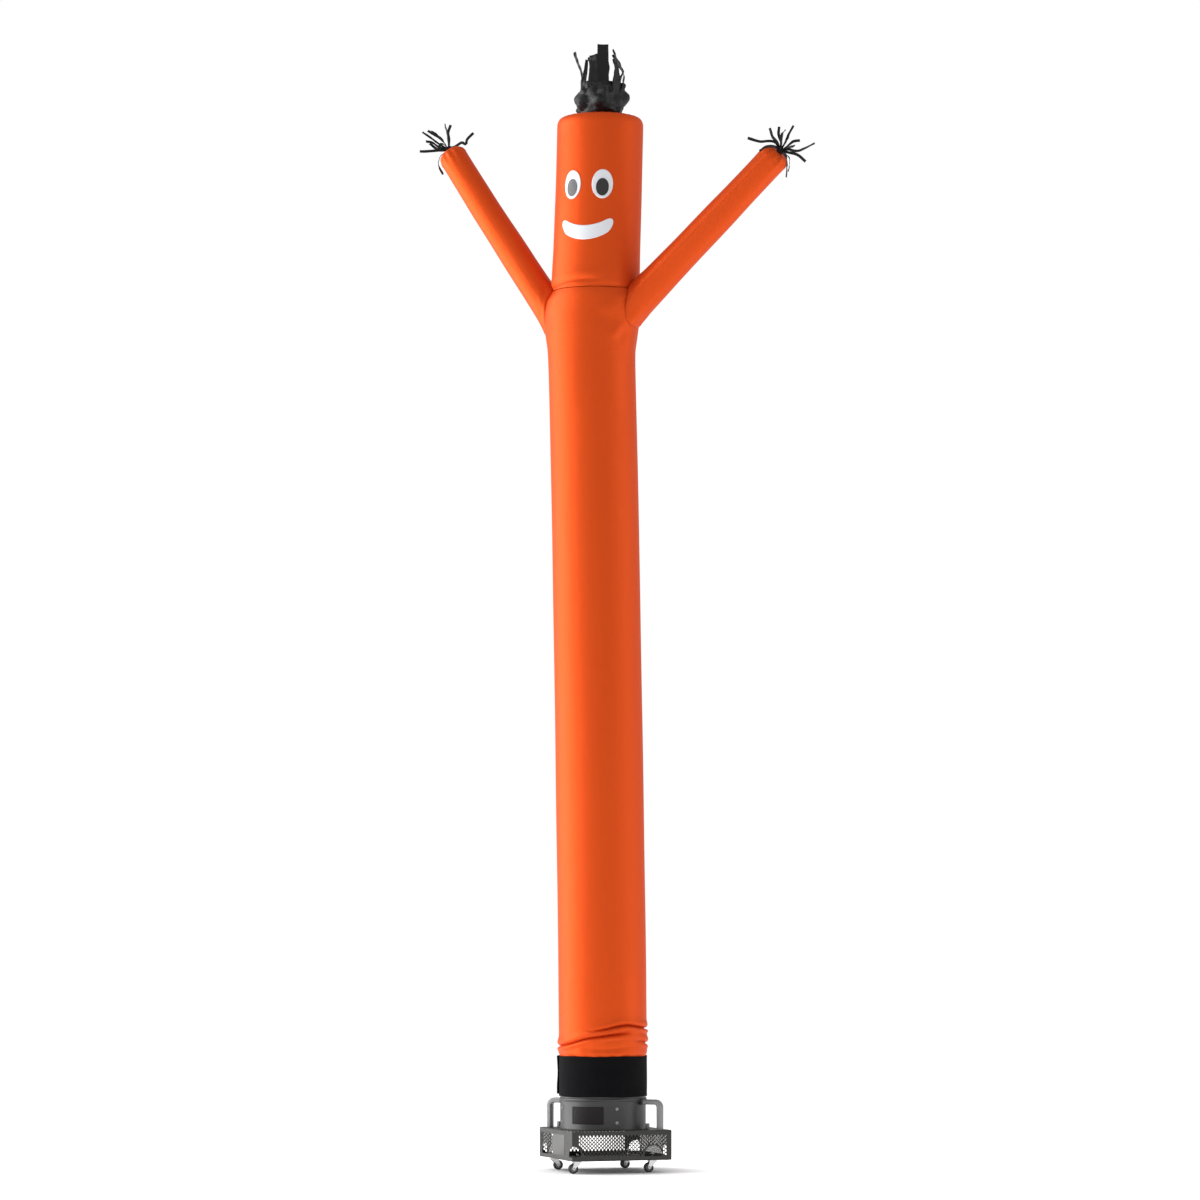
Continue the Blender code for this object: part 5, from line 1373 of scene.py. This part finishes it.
# %% The handles
BAR_DEEP, BAR_WIDE, BAR_TOP = 0.026, 0.040, 0.373
BAR_BEND = 0.014 + BAR_DEEP / 2
BRACKET_IN, BRACKET_OUT = 0.2270, 0.2385
HANDLES = {"left": {"turn": -135.0, "out": 0.320}, "right": {"turn": 45.0, "out": 0.340}}


def round_bar(angle):
    """A rounded rectangle as a point at an angle: across and deep."""
    c, s = cos(angle), sin(angle)
    power = 0.42
    across = BAR_WIDE / 2 * (abs(c) ** power) * (1 if c >= 0 else -1)
    deep = BAR_DEEP / 2 * (abs(s) ** power) * (1 if s >= 0 else -1)
    return across, deep


def draw_bar(bm, stops, sides=28):
    """Draw the bar's section through stops of (centre, direction)."""
    ring = bmesh.ops.create_circle(bm, radius=1.0, segments=sides, cap_ends=True)["verts"]
    angles = {v: atan2(v.co.y, v.co.x) for v in ring}

    def set_ring(verts, centre, along):
        deep_way = Vector(along).cross(Vector((1, 0, 0)))
        for v in verts:
            across, deep = round_bar(angles[v])
            v.co = Vector(centre) + Vector((across, 0, 0)) + deep_way * deep

    edges = [e for e in bm.edges if all(v in angles for v in e.verts)]
    order = sorted(ring, key=lambda v: angles[v])
    set_ring(order, *stops[0])
    for stop in stops[1:]:
        geom = bmesh.ops.extrude_edge_only(bm, edges=edges)["geom"]
        new = [v for v in geom if isinstance(v, bmesh.types.BMVert)]
        old = {v.co.copy().freeze(): angles[v] for e in edges for v in e.verts}
        angles.update({v: old[v.co.copy().freeze()] for v in new})
        new_set = set(new)
        edges = [e for e in geom if isinstance(e, bmesh.types.BMEdge) and set(e.verts) <= new_set]
        set_ring(new, *stop)
    bmesh.ops.contextual_create(bm, geom=edges)
    bmesh.ops.recalc_face_normals(bm, faces=bm.faces)


for side, handle in HANDLES.items():
    place = Matrix.Translation(DUCT) @ Matrix.Rotation(BASE_TURN + radians(handle["turn"]), 4, "Z")
    middle = BAR_TOP - BAR_DEEP / 2
    out = handle["out"] - BAR_DEEP / 2 - BAR_BEND
    stops = [((0, -BRACKET_OUT + 0.001, middle), (0, -1, 0)), ((0, -BRACKET_OUT - 0.012, middle), (0, -1, 0))]
    for k in range(13):
        angle = pi / 2 * k / 12
        centre = (0, -out - BAR_BEND * sin(angle), middle - BAR_BEND * (1 - cos(angle)))
        stops.append((centre, (0, -cos(angle), -sin(angle))))
    stops.append(((0, -out - BAR_BEND, DECK_TOP + 0.006), (0, 0, -1)))
    stops.append(((0, -out - BAR_BEND, DECK_TOP + 0.0004), (0, 0, -1)))
    bm = bmesh.new()
    draw_bar(bm, stops)
    bmesh.ops.transform(bm, matrix=place, verts=bm.verts)
    piece(bm, f"handle_bar_{side}", grey_paint, "grey_steel", stands_for=[f"handle_{side}"], sharp=50)

    bm = bmesh.new()
    low_corner = (-0.026, -BRACKET_OUT, BAR_TOP - BAR_DEEP - 0.002)
    soft_box(bm, low_corner, (0.026, -BRACKET_IN, BAR_TOP + 0.004), 0.002)
    bmesh.ops.transform(bm, matrix=place, verts=bm.verts)
    piece(
        bm, f"rim_bracket_{side}", dark_paint, "dark_steel", stands_for=[f"handle_bracket_{side}"],
        sharp=30,
    )

    bm = bmesh.new()
    soft_box(bm, (-0.2630, -0.011, DECK_TOP + 0.0004), (-0.2480, 0.011, 0.2500), 0.0018)
    soft_box(bm, (-0.2485, -0.011, DECK_TOP + 0.0004), (-0.2345, 0.011, 0.2240), 0.0012)
    turned = Matrix.Rotation(pi / 2, 4, "Z")
    bmesh.ops.transform(bm, matrix=place @ turned, verts=bm.verts)
    piece(bm, f"foot_block_{side}", grey_paint, "grey_steel", stands_for=[f"foot_clip_{side}"], sharp=30)
print("handles done")

# %% [markdown]
# ## The casters
#
# Each caster is modelled once round its own swivel axis and placed on its own body, so that it
# turns as the real one does. The wheel is a rubber tyre on a ribbed hub, and the axle a bolt
# with a nut.

# %% The casters
STEM_U, STEM_V, TRAIL = 0.205, 0.185, 0.020
WHEEL_R, WHEEL_HALF = 0.0255, 0.011
AXLE_Z = WHEEL_R * cos(pi / 20)
FORK_HALF, FORK_TOP = 0.0150, 0.0622
CASTERS = {
    "front_left": (-1, -1, 200.0), "front_right": (1, -1, 200.0),
    "back_right": (1, 1, 195.0), "back_left": (-1, 1, 15.0),
}
tyre_outline = [
    (0.0176, -WHEEL_HALF + 0.0012), (0.0196, -WHEEL_HALF), (0.0228, -WHEEL_HALF + 0.0004),
    (0.0246, -WHEEL_HALF + 0.0020), (0.0252, -0.0055), (0.0252, 0.0055), (0.0246, WHEEL_HALF - 0.0020),
    (0.0228, WHEEL_HALF - 0.0004), (0.0196, WHEEL_HALF), (0.0176, WHEEL_HALF - 0.0012),
]
hub_outline = [
    (0.0034, -WHEEL_HALF), (0.0072, -WHEEL_HALF), (0.0078, -WHEEL_HALF + 0.0030),
    (0.0160, -WHEEL_HALF + 0.0042),
    (0.0168, -WHEEL_HALF + 0.0012), (0.0177, -WHEEL_HALF + 0.0012), (0.0177, WHEEL_HALF - 0.0012),
    (0.0168, WHEEL_HALF - 0.0012), (0.0160, WHEEL_HALF - 0.0042), (0.0078, WHEEL_HALF - 0.0030),
    (0.0072, WHEEL_HALF), (0.0034, WHEEL_HALF),
]
axle_outline = [
    (0.0, -FORK_HALF - 0.0040), (0.0040, -FORK_HALF - 0.0040), (0.0056, -FORK_HALF - 0.0028),
    (0.0056, -FORK_HALF - 0.0003), (0.0030, -FORK_HALF - 0.0003), (0.0030, FORK_HALF + 0.0030),
    (0.0026, FORK_HALF + 0.0036), (0.0, FORK_HALF + 0.0036),
]
stem_outline = [
    (0.0, 0.0630), (0.0196, 0.0630), (0.0200, 0.0636), (0.0200, 0.0662), (0.0194, 0.0667), (0.0052, 0.0667),
    (0.0052, 0.1010), (0.0044, 0.1018), (0.0, 0.1018),
]


def hex_nut(bm, place, across, low, high):
    """A six-sided nut with bevelled corners."""
    made = bmesh.ops.create_cone(
        bm, cap_ends=True, segments=6, radius1=across / sqrt(3), radius2=across / sqrt(3),
        depth=high - low, matrix=place @ Matrix.Translation((0, 0, (low + high) / 2)),
    )["verts"]
    edges = list({e for v in made for e in v.link_edges})
    bmesh.ops.bevel(bm, geom=edges, offset=0.0007, segments=2, profile=0.5, affect="EDGES", material=-1)


sideways = Matrix.Rotation(pi / 2, 4, "X")
for name, (u, v, trail) in CASTERS.items():
    on_base = Matrix.Rotation(BASE_TURN, 4, "Z") @ Vector((u * STEM_U, v * STEM_V, 0.0))
    swivel_place = Matrix.Translation(DUCT + on_base)
    wheel_place = swivel_place @ Matrix.Rotation(radians(trail), 4, "Z") @ (
        Matrix.Translation((TRAIL, 0.0, AXLE_Z))
    )
    bm = bmesh.new()
    turn_piece(bm, stem_outline, 40, swivel_place)
    hex_nut(bm, swivel_place, 0.0185, 0.0704, 0.0780)
    hex_nut(bm, swivel_place, 0.0185, 0.0880, 0.0975)
    piece(bm, f"caster_plate_{name}", bright_plate, "chrome", stands_for=[f"caster_stem_{name}"])

    bm = bmesh.new()
    turn_piece(bm, tyre_outline, 64, wheel_place @ sideways, ring=True)
    tyre = piece(bm, f"caster_tyre_{name}", tyre_rubber, "wheel_rubber", body=f"wheel_{name}",
                 stands_for=[f"caster_wheel_{name}"])
    bm = bmesh.new()
    turn_piece(bm, hub_outline, 48, wheel_place @ sideways, ring=True)
    piece(bm, f"caster_hub_{name}", hub_plastic, "wheel_rubber", body=f"wheel_{name}")
    bm = bmesh.new()
    turn_piece(bm, axle_outline, 24, wheel_place @ sideways)
    hex_nut(bm, wheel_place @ sideways, 0.0085, FORK_HALF + 0.0003, FORK_HALF + 0.0030)
    piece(bm, f"caster_bolt_{name}", bright_plate, "chrome", body=f"swivel_{name}",
          stands_for=[f"caster_axle_{name}"])
    coat_node(f"caster_fork_{name}", bright_plate)
print("casters done")

# %% [markdown]
# ## The studio
#
# A pale floor, tall soft panels on both sides, and a camera far away with a long lens, a little
# above the blower and tipped up. The floor glows white except round the blower, where the glow
# fades out into a painted shadow under the base. The left panel stands beside and behind, which
# gives the tube its bright left band; the right one is weaker and makes the soft band near the
# right edge.

# %% Floor, sky, lights and camera
GLOW = 0.46


def floor_look():
    made, tree, shader = new_look("pale_floor", 0.9)
    place = object_place(tree)
    clouds = use(tree, unevenness, Place=place, Size=0.8)["Value"]
    colour = blend_colours(tree, clouds, (0.90, 0.90, 0.90, 1.0), (0.92, 0.92, 0.92, 1.0))
    tree.links.new(colour, shader.inputs["Base Color"])
    # The floor glows white, but the glow fades to nothing within 0.26 m of the duct: a painted shadow under
    # the blower.
    shader.inputs["Emission Color"].default_value = (1.0, 1.0, 1.0, 1.0)
    ground = add(tree, "ShaderNodeVectorMath", {0: place, 1: (DUCT.x, DUCT.y, 0.0)}, operation="DISTANCE")
    near = add(
        tree, "ShaderNodeMapRange",
        {"Value": ground.outputs["Value"], "From Min": 0.26, "From Max": 0.62, "To Max": GLOW},
        interpolation_type="SMOOTHSTEP",
    )
    tree.links.new(near.outputs[0], shader.inputs["Emission Strength"])
    shader.inputs["Specular IOR Level"].default_value = 0.1
    return made


bm = bmesh.new()
bmesh.ops.create_grid(bm, x_segments=8, y_segments=8, size=60.0)
bmesh.ops.translate(bm, verts=bm.verts, vec=(0.0, 0.0, -0.0004))
mesh = bpy.data.meshes.new("studio_floor")
bm.to_mesh(mesh)
bm.free()
mesh.materials.append(floor_look())
floor = bpy.data.objects.new("studio_floor", mesh)
bpy.context.scene.collection.objects.link(floor)

AMBIENT = 0.62
world = bpy.data.worlds.new("studio")
bpy.context.scene.world = world
world.use_nodes = True
sky = world.node_tree
sky.nodes.clear()
seen = add(sky, "ShaderNodeLightPath").outputs["Is Camera Ray"]
strength = calc(sky, "MULTIPLY_ADD", seen, 1.0 - AMBIENT, AMBIENT)
backdrop = add(sky, "ShaderNodeBackground", {"Color": (1.0, 1.0, 1.0, 1.0), "Strength": strength})
outlet = add(sky, "ShaderNodeOutputWorld")
sky.links.new(backdrop.outputs[0], outlet.inputs["Surface"])

PANELS = {
    "left_panel": {"azimuth": -95.0, "away": 3.6, "high": 3.0, "size": (4.0, 8.0), "power": 420.0},
    "right_panel": {"azimuth": 82.0, "away": 3.8, "high": 3.0, "size": (2.0, 8.0), "power": 56.0},
}
for name, panel in PANELS.items():
    light = bpy.data.lights.new(name, "AREA")
    light.shape = "RECTANGLE"
    light.size, light.size_y = panel["size"]
    light.energy = panel["power"]
    lamp = bpy.data.objects.new(name, light)
    bpy.context.scene.collection.objects.link(lamp)
    azimuth = radians(panel["azimuth"])
    lamp.location = polar(azimuth, panel["away"], panel["high"])
    lamp.rotation_euler = (pi / 2, 0.0, azimuth)
    lamp.visible_camera = False

CAMERA_AWAY, CAMERA_HIGH, CAMERA_PITCH = 22.0, 1.3, radians(4.334)
LENS, SENSOR = 126.4, 36.0
camera_data = bpy.data.cameras.new("camera")
camera_data.lens, camera_data.sensor_width = LENS, SENSOR
camera_data.clip_end = 200.0
camera = bpy.data.objects.new("camera", camera_data)
bpy.context.scene.collection.objects.link(camera)
camera.location = DUCT + Vector((-0.0156, -CAMERA_AWAY, CAMERA_HIGH))
camera.rotation_euler = (pi / 2 + CAMERA_PITCH, 0.0, 0.0)
bpy.context.scene.camera = camera
bpy.context.scene.view_settings.view_transform = "Standard"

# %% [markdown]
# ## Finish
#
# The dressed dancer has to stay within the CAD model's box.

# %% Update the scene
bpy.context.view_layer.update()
